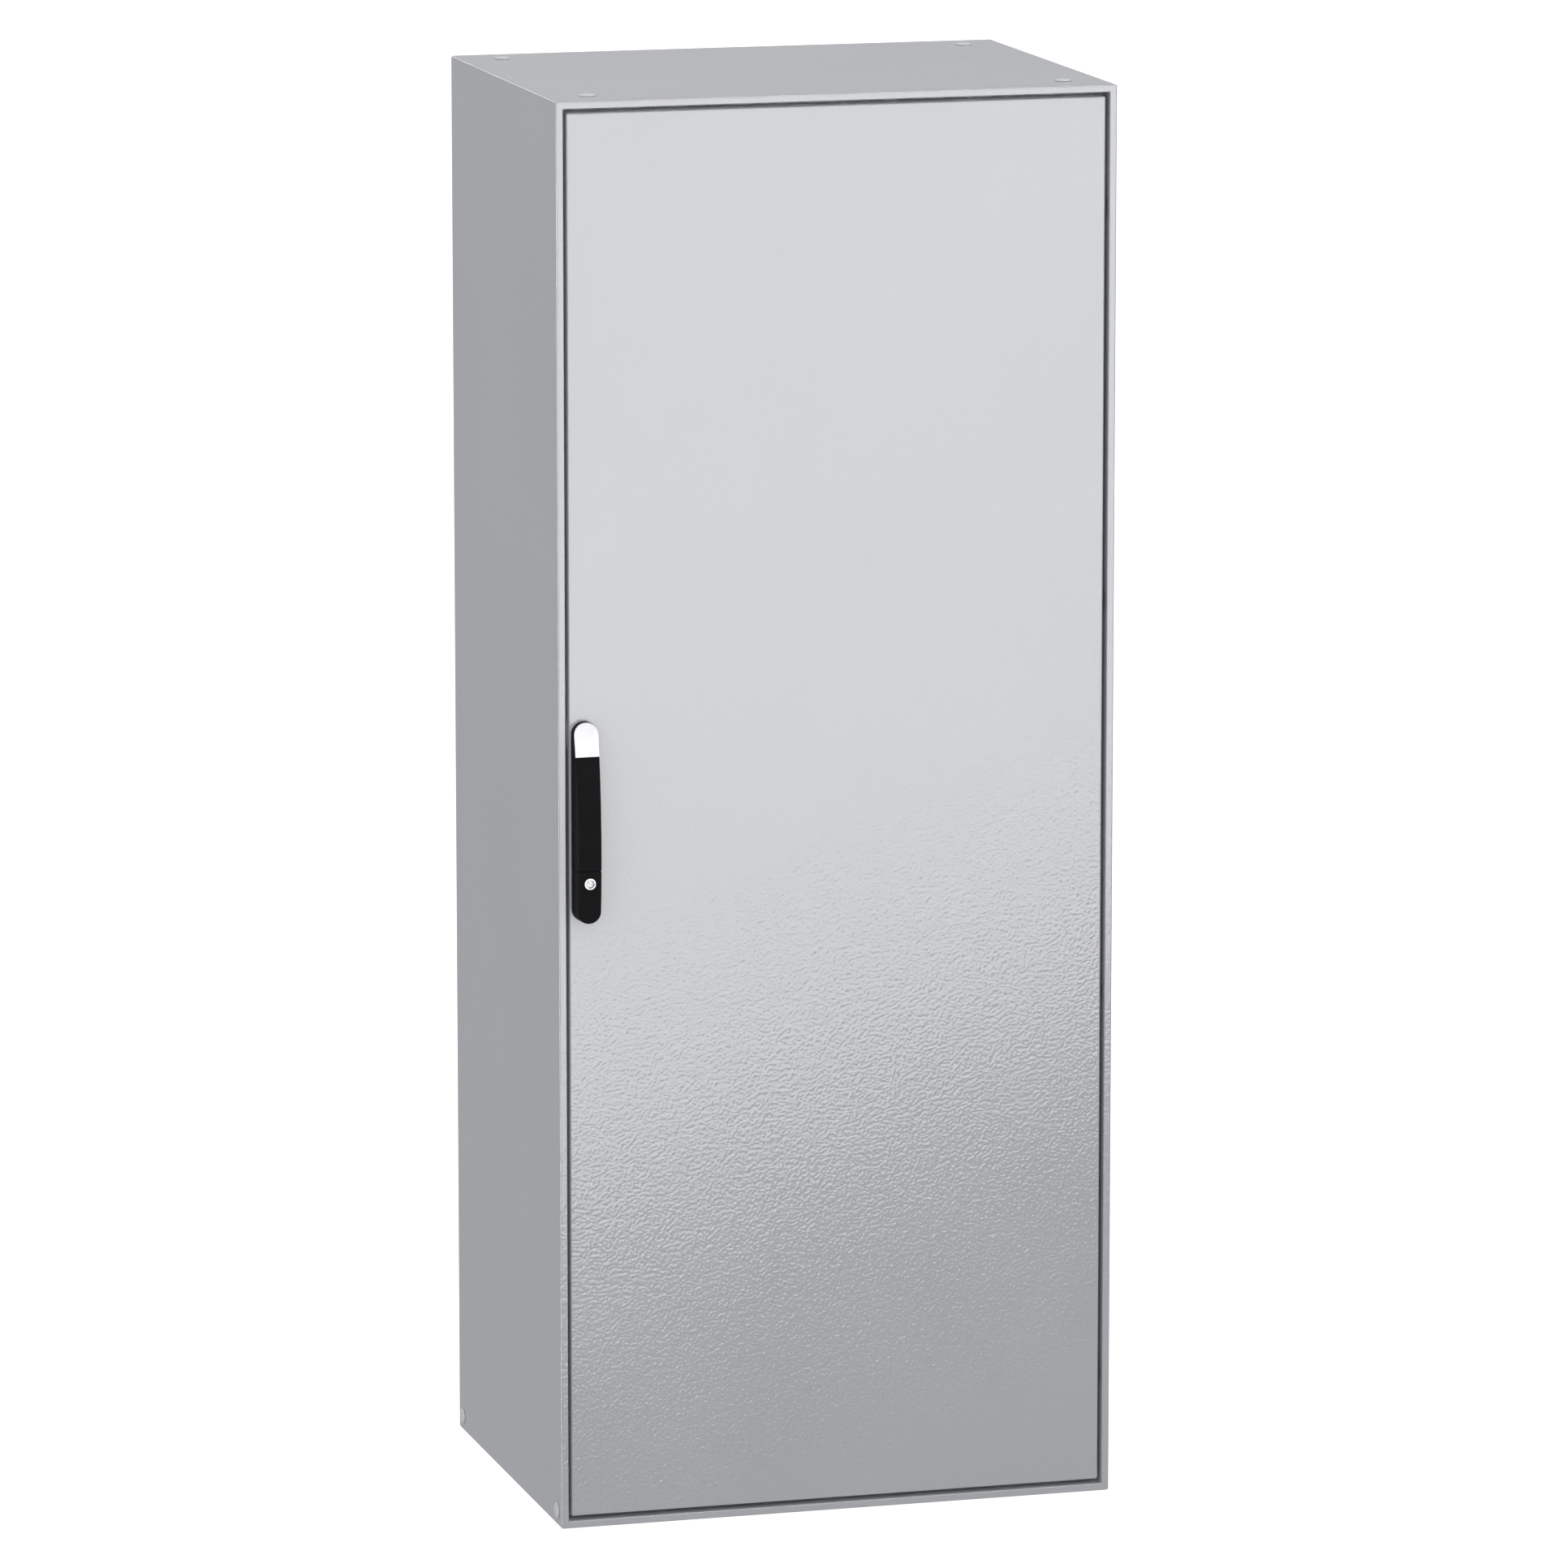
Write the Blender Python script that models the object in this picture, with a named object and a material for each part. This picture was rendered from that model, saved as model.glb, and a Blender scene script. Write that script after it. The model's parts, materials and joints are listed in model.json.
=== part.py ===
"""Floor-standing monobloc steel enclosure for an industrial switchboard, 2000 x 800 x 600 mm.

A folded and welded body carries an inset door on four concealed hinges. A swing handle turns a pinion that
draws two locking rods in, behind the door and outside its seal. Inside are a mounting plate on rails, three
gland plates and a screwed rear panel.

Frame: metres, +Z up, the door faces -Y, and the origin is on the floor at the centre of the bounding box.
"Depth" below means the distance behind the front face of the body. "Inset" means the distance in from the
outer sides of the body. "Rise" means the distance in front of the door's face.
"""

import math

import bmesh
import bpy
from mathutils import Vector

# Body
WIDTH = 0.8
BODY_DEPTH = 0.6
HEIGHT = 2.0
SHEET = 0.0015
GAP = 0.0003
CORNER_RADIUS = 0.003
FRONT_BEND = 0.0022
BORDER = 0.0105
GUTTER_DEPTH = 0.035
LIP_INSET = 0.060
LIP_DEPTH = 0.013
REAR_BORDER = 0.011
REAR_STEP = 0.010
REAR_FLANGE_INSET = 0.040

# Door
DOOR_SHEET = 0.002
DOOR_RECESS = 0.0035
DOOR_SIDE_INSET = 0.0155
DOOR_END_INSET = 0.0165
DOOR_RETURN = 0.020
DOOR_BEND = 0.0024
GASKET_WIDTH = 0.011
STIFFENER_INSET = 0.072
STIFFENER_WIDTH = 0.030
STIFFENER_DEPTH = 0.020
SLOT_PITCH = 0.050
SLOT_LENGTH = 0.012
SLOT_WIDTH = 0.006

# Hinges: the pin's axis, from the door's edge and from its face
HINGE_FROM_EDGE = 0.010
HINGE_FROM_FACE = 0.007
HINGE_HEIGHTS = (0.170, 0.723, 1.277, 1.830)
HINGE_OPENING = math.radians(120)
KNUCKLE_RADIUS = 0.0045
PIN_RADIUS = 0.0025
PIN_CLEARANCE = 0.00008
LUG_HALF = 0.010
EAR_THICKNESS = 0.003

# Handle
HANDLE_INSET = 0.0368
HANDLE_TOP = 1.144
HANDLE_HEIGHT = 0.281
HANDLE_WIDTH = 0.036
HANDLE_DRAFT = math.tan(math.radians(3))
POCKET_RISE = 0.008
POCKET_RADIUS = 0.0365
TRAY_RISE = 0.0137
BOW_RISE = 0.0347
BOW_RADIUS = 0.770
BOW_CENTRE_Z = 0.960
CAP_THICKNESS = 0.002
CAP_LOWER_Z = 1.0971
SEAM_Z = 0.9391
SEAM_GAP = 0.0008
NOSE_HEIGHT = 0.018
LEVER_BACK = 0.014
LIFT_AXIS_RISE = 0.020
LIFT_AXIS_Z = 1.0925
LIFT_KNUCKLE = 0.0043
LIFT_TONGUE = 0.0020
LIFT_TONGUE_HALF = 0.006
LIFT_PIN_RADIUS = 0.00125
LIFT_ANGLE = 40
HUB_SKIRT_RISE = 0.0153
HUB_RADIUS = 0.036
LOCK_Z = 0.9214
LOCK_RADIUS = 0.0084
LOCK_RISE = 0.0355
LOCK_MOUTH = 0.006
SPINDLE = 0.008

# Lock works, behind the door
MODULE = 0.001
PINION_TEETH = 16
PRESSURE_ANGLE = math.radians(20)
BACKLASH = 0.0002
RACK_ADDENDUM = 0.00085
ROD_WIDTH = 0.007
ROD_DEPTHS = (0.012, 0.017)
GEARBOX_HALF = 0.0173
GEARBOX_HALF_HEIGHT = 0.035
GEARBOX_DEPTHS = (0.0058, 0.0218)
UPPER_ROD_TOP = 1.960
LOWER_ROD_BOTTOM = 0.040
TIP_LENGTH = 0.020
TIP_WIDTH = 0.011
TIP_DEPTHS = (0.0105, 0.0185)
TIP_ENGAGEMENT = 0.009
GUIDE_HEIGHTS = {"upper": 1.560, "lower": 0.560}
CAM_DEPTHS = (0.0245, 0.0275)
CAM_REACH = 0.0255

# Inside
PLATE_WIDTH = 0.672
PLATE_SHEET = 0.003
PLATE_DEPTH = 0.540
PLATE_BOTTOM = 0.070
PLATE_TOP = 1.940
PLATE_FLANGE = 0.020
RAIL_DEPTHS = (0.060, 0.570)
RAIL_INNER_INSET = 0.046
RAIL_HEIGHT = 0.030
GLAND_OPENING_HALF = 0.335
GLAND_OPENING_DEPTHS = (0.060, 0.540)
GLAND_OVERLAP = 0.014
GLAND_SHEET = 0.002
GLAND_FLANGE = 0.012

# Plugs
PLUG_RADIUS = 0.0115
PLUG_RISE = 0.0028
PLUG_HOLE_RADIUS = 0.007
ROOF_PLUG_INSET = 0.060
SIDE_PLUG_Z = 0.0215
SIDE_PLUG_DEPTH = 0.0235

# Worked out
HANDLE_PROUD = LOCK_RISE - DOOR_RECESS
FRONT_Y = -(BODY_DEPTH - HANDLE_PROUD) / 2
FACE_Y = FRONT_Y + DOOR_RECESS
HANDLE_X = HANDLE_INSET - WIDTH / 2
SWIVEL_Z = HANDLE_TOP - HANDLE_WIDTH / 2
HINGE_X = WIDTH / 2 - DOOR_SIDE_INSET - HINGE_FROM_EDGE
HINGE_Y = FACE_Y + HINGE_FROM_FACE
DOOR_BACK_DEPTH = DOOR_RECESS + DOOR_SHEET
PITCH_RADIUS = MODULE * PINION_TEETH / 2
ROD_INNER = PITCH_RADIUS + 1.25 * MODULE
ROD_OUTER = ROD_INNER + ROD_WIDTH


# ---------------------------------------------------------------- tools

def clear_scene():
    for old in list(bpy.data.objects):
        bpy.data.objects.remove(old)


def make_material(name, colour, roughness, metallic=0.0):
    material = bpy.data.materials.new(name)
    material.use_nodes = True
    shader = material.node_tree.nodes["Principled BSDF"]
    shader.inputs["Base Color"].default_value = (*colour, 1.0)
    shader.inputs["Roughness"].default_value = roughness
    shader.inputs["Metallic"].default_value = metallic
    return material


def at_depth(depth):
    """The Y of a point that far behind the body's front face."""
    return FRONT_Y + depth


def at_rise(rise):
    """The Y of a point that far in front of the door's face."""
    return FACE_Y - rise


def add_object(name, bm, material, parent=None, location=(0, 0, 0)):
    """An object from bm, whose points are in the world's frame, with its origin at location."""
    bmesh.ops.recalc_face_normals(bm, faces=bm.faces)
    bmesh.ops.translate(bm, verts=bm.verts, vec=-Vector(location))
    mesh = bpy.data.meshes.new(name)
    bm.to_mesh(mesh)
    bm.free()
    mesh.materials.append(material)
    mesh.shade_smooth()
    mesh.set_sharp_from_angle(angle=math.radians(35))
    obj = bpy.data.objects.new(name, mesh)
    bpy.context.scene.collection.objects.link(obj)
    obj.location = location
    if parent is not None:
        obj.parent = parent
        obj.location = Vector(location) - parent.location
    return obj


def add_empty(name, location):
    """An empty on a joint's axis. The sub-parts that move about it are its children."""
    empty = bpy.data.objects.new(name, None)
    bpy.context.scene.collection.objects.link(empty)
    empty.location = location
    return empty


def loft(bm, rings, closed_loop=False):
    """Joins rings of the same number of points with quads, and caps the ends unless they form a loop."""
    rows = [[bm.verts.new(point) for point in ring] for ring in rings]
    count = len(rows[0])
    pairs = list(zip(rows, rows[1:]))
    if closed_loop:
        pairs.append((rows[-1], rows[0]))
    for first, second in pairs:
        for i in range(count):
            j = (i + 1) % count
            bm.faces.new((first[i], first[j], second[j], second[i]))
    if not closed_loop:
        bm.faces.new(rows[0])
        bm.faces.new(list(reversed(rows[-1])))
    return bm


def prism(outline, axis, low, high, bm=None):
    """A solid with a flat outline, drawn in the other two axes in X, Y, Z order, from low to high."""
    places = {
        "X": lambda a, b, t: (t, a, b),
        "Y": lambda a, b, t: (a, t, b),
        "Z": lambda a, b, t: (a, b, t),
    }
    place = places[axis]
    rings = [[place(a, b, t) for a, b in outline] for t in (low, high)]
    return loft(bm or bmesh.new(), rings)


def box(x, y, z, bm=None):
    return prism(((x[0], y[0]), (x[1], y[0]), (x[1], y[1]), (x[0], y[1])), "Z", z[0], z[1], bm)


def arc(centre, radius, start, end, steps):
    """Points on an arc, from start to end in degrees."""
    points = []
    for i in range(steps + 1):
        angle = math.radians(start + (end - start) * i / steps)
        points.append((centre[0] + radius * math.cos(angle), centre[1] + radius * math.sin(angle)))
    return points


def circle(centre, radius, steps):
    return arc(centre, radius, 0, 360, steps)[:-1]


def rounded(corners, steps=3):
    """An outline from (a, b, radius) corners, each turned into an arc of that radius."""
    points = []
    count = len(corners)
    for i, (a, b, radius) in enumerate(corners):
        if radius == 0:
            points.append((a, b))
            continue
        here = Vector((a, b))
        back = (Vector(corners[i - 1][:2]) - here).normalized()
        ahead = (Vector(corners[(i + 1) % count][:2]) - here).normalized()
        half = back.angle(ahead) / 2
        centre = here + (back + ahead).normalized() * radius / math.sin(half)
        first = here + back * radius / math.tan(half) - centre
        turn = -first.angle_signed(here + ahead * radius / math.tan(half) - centre)
        start = math.atan2(first.y, first.x)
        points += arc(centre, radius, math.degrees(start), math.degrees(start + turn), steps)
    return points


def turned(profile, centre, axis, steps=20):
    """A solid of revolution from (radius, height) points, of which the first and last lie on its axis."""
    turn = Vector((0, 0, 1)).rotation_difference(Vector(axis)).to_matrix()
    rings = []
    for radius, height in profile[1:-1]:
        flat = [(a, b, height) for a, b in circle((0, 0), radius, steps)]
        rings.append([Vector(centre) + turn @ Vector(point) for point in flat])
    return loft(bmesh.new(), rings)


def frame_ring(inset, depth, inset_z=None, radius=0.0004, steps=2):
    """A rounded rectangle round the body, in from its sides by inset and from its ends by inset_z."""
    half_x = WIDTH / 2 - inset
    half_z = HEIGHT / 2 - (inset if inset_z is None else inset_z)
    corners = [(half_x, half_z), (-half_x, half_z), (-half_x, -half_z), (half_x, -half_z)]
    outline = rounded([(a, b, radius) for a, b in corners], steps)
    return [(a, at_depth(depth), b + HEIGHT / 2) for a, b in outline]


def boolean(obj, cutter_bm, operation="DIFFERENCE"):
    """A Boolean of obj with a helper solid, which stays out of the render."""
    cutter = add_object(f"{obj.name}.cutter", cutter_bm, obj.data.materials[0])
    cutter.hide_render = True
    cutter.display_type = "WIRE"
    modifier = obj.modifiers.new("cut", "BOOLEAN")
    modifier.operation = operation
    modifier.solver = "EXACT"
    modifier.object = cutter
    return obj


# ---------------------------------------------------------------- body

def make_body_shell():
    """Sides, roof and floor frame, folded in front into a border, a gutter and the lip for the seal."""
    profile = rounded([
        (REAR_FLANGE_INSET, BODY_DEPTH - REAR_STEP, 0),
        (REAR_BORDER, BODY_DEPTH - REAR_STEP, 0),
        (REAR_BORDER, BODY_DEPTH, 0),
        (0, BODY_DEPTH, FRONT_BEND),
        (0, 0, FRONT_BEND),
        (BORDER, 0, 0.001),
        (BORDER, GUTTER_DEPTH, 0),
        (LIP_INSET, GUTTER_DEPTH, 0),
        (LIP_INSET, LIP_DEPTH, 0),
        (LIP_INSET + SHEET, LIP_DEPTH, 0),
        (LIP_INSET + SHEET, GUTTER_DEPTH + SHEET, 0),
        (BORDER - SHEET, GUTTER_DEPTH + SHEET, 0),
        (BORDER - SHEET, SHEET, 0),
        (SHEET, SHEET, 0),
        (SHEET, BODY_DEPTH - SHEET, 0),
        (REAR_BORDER - SHEET, BODY_DEPTH - SHEET, 0),
        (REAR_BORDER - SHEET, BODY_DEPTH - REAR_STEP - SHEET, 0),
        (REAR_FLANGE_INSET, BODY_DEPTH - REAR_STEP - SHEET, 0),
    ])
    rings = [
        frame_ring(inset, depth, radius=max(CORNER_RADIUS - inset, 0.0005))
        for inset, depth in profile
    ]
    shell = add_object("body_shell", loft(bmesh.new(), rings, closed_loop=True), PAINT, BODY)
    holes = bmesh.new()
    for x, y in roof_plug_places():
        prism(circle((x, y), PLUG_HOLE_RADIUS, 16), "Z", HEIGHT - 3 * SHEET, HEIGHT + SHEET, holes)
    for side in (-1, 1):
        low, high = sorted((side * (WIDTH / 2 - 3 * SHEET), side * (WIDTH / 2 + SHEET)))
        for y in side_plug_depths():
            prism(circle((y, SIDE_PLUG_Z), PLUG_HOLE_RADIUS, 16), "X", low, high, holes)
    front, back = (at_depth(depth) for depth in GLAND_OPENING_DEPTHS)
    box((-GLAND_OPENING_HALF, GLAND_OPENING_HALF), (front, back), (-SHEET, 3 * SHEET), holes)
    return boolean(shell, holes)


def roof_plug_places():
    """The (x, y) of the four lifting holes, front left, front right, rear left and rear right."""
    across = WIDTH / 2 - ROOF_PLUG_INSET
    return [
        (side * across, at_depth(depth))
        for depth in (ROOF_PLUG_INSET, BODY_DEPTH - ROOF_PLUG_INSET)
        for side in (-1, 1)
    ]


def side_plug_depths():
    return [at_depth(SIDE_PLUG_DEPTH), at_depth(BODY_DEPTH - SIDE_PLUG_DEPTH)]


def make_plug(name, centre, axis):
    """A push-in plug: a low disc with a soft edge, and a stem that snaps into the sheet."""
    profile = [
        (0, PLUG_RISE),
        (PLUG_RADIUS - 0.0012, PLUG_RISE),
        (PLUG_RADIUS - 0.0003, PLUG_RISE - 0.0006),
        (PLUG_RADIUS, GAP),
        (PLUG_HOLE_RADIUS - 0.0004, GAP),
        (PLUG_HOLE_RADIUS - 0.0008, -0.006),
        (0, -0.006),
    ]
    return add_object(name, turned(profile, centre, axis, 24), PLUG_PLASTIC, BODY, centre)


def make_plugs():
    names = ("front_left", "front_right", "rear_left", "rear_right")
    for name, (x, y) in zip(names, roof_plug_places()):
        make_plug(f"roof_plug_{name}", (x, y, HEIGHT), (0, 0, 1))
    for side, word in ((-1, "left"), (1, "right")):
        for y, place in zip(side_plug_depths(), ("front", "rear")):
            centre = (side * WIDTH / 2, y, SIDE_PLUG_Z)
            make_plug(f"side_plug_{word}_{place}", centre, (side, 0, 0))


def make_rear_panel():
    """A flat cover, screwed into the step at the back, with a seal between it and the rear flange."""
    inset = REAR_BORDER + 0.0015
    seal_depth = BODY_DEPTH - REAR_STEP + GAP
    sheet_depth = seal_depth + 0.004
    rings = [frame_ring(inset, depth, radius=0.002) for depth in (sheet_depth, sheet_depth + SHEET)]
    add_object("rear_panel", loft(bmesh.new(), rings), PAINT, BODY)
    outer, inner = inset + 0.006, inset + 0.018
    seal_back = sheet_depth - GAP
    corners = [(outer, seal_depth), (outer, seal_back), (inner, seal_back), (inner, seal_depth)]
    rings = [frame_ring(a, b, radius=0.004) for a, b in corners]
    add_object("rear_seal", loft(bmesh.new(), rings, closed_loop=True), FOAM, BODY)


def make_gland_plates():
    """Three plates side by side over the floor opening, each with its long edges turned up."""
    half = GLAND_OPENING_HALF + GLAND_OVERLAP
    start = GLAND_OPENING_DEPTHS[0] - GLAND_OVERLAP
    length = (GLAND_OPENING_DEPTHS[1] + GLAND_OVERLAP - start) / 3
    low = SHEET + GAP
    high = low + GLAND_FLANGE
    for i, place in enumerate(("front", "middle", "rear")):
        front = at_depth(start + i * length + 0.0005)
        back = at_depth(start + (i + 1) * length - 0.0005)
        outline = [
            (front, low),
            (back, low),
            (back, high),
            (back - GLAND_SHEET, high),
            (back - GLAND_SHEET, low + GLAND_SHEET),
            (front + GLAND_SHEET, low + GLAND_SHEET),
            (front + GLAND_SHEET, high),
            (front, high),
        ]
        add_object(f"gland_plate_{place}", prism(outline, "X", -half, half), GALVANISED, BODY)


# ---------------------------------------------------------------- mounting plate

def make_mounting_plate():
    """A galvanised plate with its side edges folded back."""
    half = PLATE_WIDTH / 2
    front, back = at_depth(PLATE_DEPTH), at_depth(PLATE_DEPTH) + PLATE_FLANGE
    outline = rounded([
        (-half, front, 0.003),
        (half, front, 0.003),
        (half, back, 0),
        (half - PLATE_SHEET, back, 0),
        (half - PLATE_SHEET, front + PLATE_SHEET, 0),
        (-half + PLATE_SHEET, front + PLATE_SHEET, 0),
        (-half + PLATE_SHEET, back, 0),
        (-half, back, 0),
    ])
    add_object("mounting_plate", prism(outline, "Z", PLATE_BOTTOM, PLATE_TOP), GALVANISED, BODY)


def slots(x, y, z_range, pitch, bm):
    """A row of upright slots, cut along Y or X by the box that x and y give."""
    count = int((z_range[1] - z_range[0]) / pitch)
    start = (z_range[0] + z_range[1] - (count - 1) * pitch) / 2
    for i in range(count):
        middle = start + i * pitch
        box(x, y, (middle - SLOT_LENGTH / 2, middle + SLOT_LENGTH / 2), bm)


def make_plate_supports():
    """On each side, a rail along the floor, a foot on it that the plate stands on, and a top hanger."""
    front, back = (at_depth(depth) for depth in RAIL_DEPTHS)
    plate_front = at_depth(PLATE_DEPTH)
    plate_back = plate_front + PLATE_SHEET + GAP
    bottom = SHEET + GAP
    top = bottom + RAIL_HEIGHT
    for side, word in ((-1, "left"), (1, "right")):
        outer = WIDTH / 2 - SHEET - GAP
        inner = WIDTH / 2 - RAIL_INNER_INSET
        outline = [
            (side * inner, bottom),
            (side * (outer - CORNER_RADIUS), bottom),
            (side * outer, bottom + CORNER_RADIUS),
            (side * outer, top),
            (side * inner, top),
            (side * inner, top - 2 * SHEET),
            (side * (outer - SHEET), top - 2 * SHEET),
            (side * (outer - SHEET), bottom + CORNER_RADIUS + SHEET / 2),
            (side * (outer - CORNER_RADIUS - SHEET / 2), bottom + SHEET),
            (side * inner, bottom + SHEET),
        ]
        rail = add_object(f"plate_rail_{word}", prism(outline, "Y", front, back), GALVANISED, BODY)
        holes = bmesh.new()
        middle = side * (inner + 0.018)
        for i in range(9):
            y = front + 0.055 + i * 0.050
            box((middle - 0.004, middle + 0.004), (y - 0.006, y + 0.006), (top - 0.01, top + 0.01), holes)
        boolean(rail, holes)
        foot_z = (top + GAP, top + GAP + PLATE_SHEET)
        leg = plate_back + PLATE_FLANGE - 0.005
        x_in, x_out = side * (PLATE_WIDTH / 2 - 0.055), side * (PLATE_WIDTH / 2 - PLATE_SHEET - GAP)
        upright = (foot_z[0], PLATE_BOTTOM + 0.06)
        foot = box(sorted((x_in, x_out)), (plate_back, plate_back + PLATE_SHEET), upright)
        step = box(sorted((x_in, side * (outer - 0.006))), (plate_back, leg + 0.02), foot_z)
        add_object(f"plate_foot_{word}", foot, GALVANISED, BODY)
        boolean(bpy.data.objects[f"plate_foot_{word}"], step, "UNION")
        add_object(f"plate_hanger_{word}", plate_hanger(side), GALVANISED, BODY)


def plate_hanger(side):
    """A strap, folded from behind the plate, past its edge and on to the side wall."""
    front = at_depth(PLATE_DEPTH) + PLATE_SHEET + GAP
    back = at_depth(PLATE_DEPTH) + PLATE_FLANGE + 0.001
    wall = WIDTH / 2 - SHEET - GAP
    near, far = PLATE_WIDTH / 2 - 0.055, PLATE_WIDTH / 2 - 0.015
    outline = [
        (near, front),
        (far, front),
        (far, back),
        (wall, back),
        (wall, back + 0.024),
        (wall - PLATE_SHEET, back + 0.024),
        (wall - PLATE_SHEET, back + PLATE_SHEET),
        (far - PLATE_SHEET, back + PLATE_SHEET),
        (far - PLATE_SHEET, front + PLATE_SHEET),
        (near, front + PLATE_SHEET),
    ]
    return prism([(side * a, b) for a, b in outline], "Z", PLATE_TOP - 0.055, PLATE_TOP - 0.005)


def make_earth_stud(name, centre, axis, parent):
    """A welded stud with its flange nut."""
    profile = [
        (0, 0.022),
        (0.0035, 0.022),
        (0.004, 0.021),
        (0.004, 0.012),
        (0.0065, 0.012),
        (0.0065, 0.007),
        (0.0085, 0.006),
        (0.0085, 0.0045),
        (0.006, 0.0045),
        (0.006, GAP),
        (0, GAP),
    ]
    add_object(name, turned(profile, centre, axis, 12), BRASS, parent, centre)


# ---------------------------------------------------------------- door

def door_ring(inset, depth, radius):
    return frame_ring(DOOR_SIDE_INSET + inset, depth, DOOR_END_INSET + inset, radius)


def make_door_panel():
    """A pan: its face, a bend all round, and a return that is notched where the hinge lugs swing."""
    back = DOOR_RECESS + DOOR_RETURN
    edge = [(DOOR_BEND, DOOR_RECESS)]
    for i in (1, 2, 3):
        angle = math.radians(30 * i)
        edge.append((DOOR_BEND * (1 - math.sin(angle)), DOOR_RECESS + DOOR_BEND * (1 - math.cos(angle))))
    edge += [(0, back), (DOOR_SHEET, back), (DOOR_SHEET, DOOR_BACK_DEPTH)]
    rings = [door_ring(inset, depth, max(0.0025 - inset, 0.0005)) for inset, depth in edge]
    door = add_object("door_panel", loft(bmesh.new(), rings), PAINT, DOOR, DOOR.location)
    cuts = bmesh.new()
    notch_y = (at_depth(DOOR_BACK_DEPTH + 0.0002), at_depth(back + 0.001))
    for z in HINGE_HEIGHTS:
        notch_x = (HINGE_X + 0.0065, HINGE_X + HINGE_FROM_EDGE + 0.001)
        box(notch_x, notch_y, (z - LUG_HALF - 0.003, z + LUG_HALF + 0.003), cuts)
    through = (FACE_Y - 0.001, FACE_Y + 2 * DOOR_SHEET)
    prism(circle((HANDLE_X, SWIVEL_Z), 0.0075, 20), "Y", *through, cuts)
    prism(circle((HANDLE_X, LOCK_Z), 0.0088, 20), "Y", *through, cuts)
    boolean(door, cuts)


def make_door_gasket():
    """Poured foam, standing just clear of the body's lip."""
    low, high = DOOR_BACK_DEPTH + GAP, LIP_DEPTH - GAP
    outer = LIP_INSET + SHEET / 2 - GASKET_WIDTH / 2
    outline = [
        (outer, low),
        (outer + 0.001, high - 0.0025),
        (outer + 0.0035, high),
        (outer + GASKET_WIDTH - 0.0035, high),
        (outer + GASKET_WIDTH - 0.001, high - 0.0025),
        (outer + GASKET_WIDTH, low),
    ]
    rings = [frame_ring(inset, depth, radius=0.006) for inset, depth in outline]
    add_object("door_gasket", loft(bmesh.new(), rings, closed_loop=True), FOAM, DOOR, DOOR.location)


def channel(centre, width, low, high):
    """The outline of an open channel whose web stands off the door, with its two feet against it."""
    half, wall = width / 2, SHEET
    a, b = centre - half, centre + half
    flange = 0.007
    return [
        (a - flange, low),
        (a + wall, low),
        (a + wall, high - wall),
        (b - wall, high - wall),
        (b - wall, low),
        (b + flange, low),
        (b + flange, low + wall),
        (b, low + wall),
        (b, high),
        (a, high),
        (a, low + wall),
        (a - flange, low + wall),
    ]


def make_stiffeners():
    """Four slotted channels, welded to the inside of the door within the seal."""
    low = at_depth(DOOR_BACK_DEPTH + GAP)
    high = low + STIFFENER_DEPTH
    width = STIFFENER_WIDTH - 0.014
    middle = STIFFENER_INSET + STIFFENER_WIDTH / 2
    web = (high - 0.004, high + 0.004)
    ends = (STIFFENER_INSET, HEIGHT - STIFFENER_INSET)
    for side, word in ((-1, "left"), (1, "right")):
        x = side * (WIDTH / 2 - middle)
        outline = channel(x, width, low, high)
        upright = prism(outline, "Z", *ends)
        stiffener = add_object(f"door_stiffener_{word}", upright, PAINT, DOOR, DOOR.location)
        cuts = bmesh.new()
        slots((x - SLOT_WIDTH / 2, x + SLOT_WIDTH / 2), web, ends, SLOT_PITCH, cuts)
        boolean(stiffener, cuts)
    reach = WIDTH / 2 - STIFFENER_INSET - STIFFENER_WIDTH - 0.0005
    for z, word in ((middle, "bottom"), (HEIGHT - middle, "top")):
        outline = channel(z, width, low, high)
        cross = prism([(b, a) for a, b in outline], "X", -reach, reach)
        stiffener = add_object(f"door_stiffener_{word}", cross, PAINT, DOOR, DOOR.location)
        cuts = bmesh.new()
        count = int(2 * reach / SLOT_PITCH)
        for i in range(count):
            x = (i - (count - 1) / 2) * SLOT_PITCH
            across = (x - SLOT_LENGTH / 2, x + SLOT_LENGTH / 2)
            box(across, web, (z - SLOT_WIDTH / 2, z + SLOT_WIDTH / 2), cuts)
        boolean(stiffener, cuts)


# ---------------------------------------------------------------- hinges

def make_hinge_bracket(number, z):
    """The body's half: a foot on the gutter floor and a lug that leans clear of the open door."""
    along = Vector((math.cos(HINGE_OPENING), math.sin(HINGE_OPENING)))
    across = Vector((-along.y, along.x))
    foot_front = at_depth(GUTTER_DEPTH) - GAP - 0.003
    length = (foot_front + 0.001 - HINGE_Y) / along.y
    centre = Vector((HINGE_X, HINGE_Y))
    end = centre + along * length
    start_angle = math.degrees(math.atan2(across.y, across.x))
    outline = arc(centre, KNUCKLE_RADIUS, start_angle, start_angle + 180, 10)
    outline += [tuple(end - across * KNUCKLE_RADIUS), tuple(end + across * KNUCKLE_RADIUS)]
    lug = prism(outline, "Z", z - LUG_HALF, z + LUG_HALF)
    bracket = add_object(f"hinge_bracket_{number}", lug, ZINC, BODY, (HINGE_X, HINGE_Y, z))
    foot_x = (end.x - 0.014, end.x + 0.012)
    foot = box(foot_x, (foot_front, foot_front + 0.003), (z - 0.024, z + 0.024))
    boolean(bracket, foot, "UNION")
    bore = prism(circle(centre, PIN_RADIUS + PIN_CLEARANCE, 24), "Z", z - 0.02, z + 0.02)
    boolean(bracket, bore)


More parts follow.
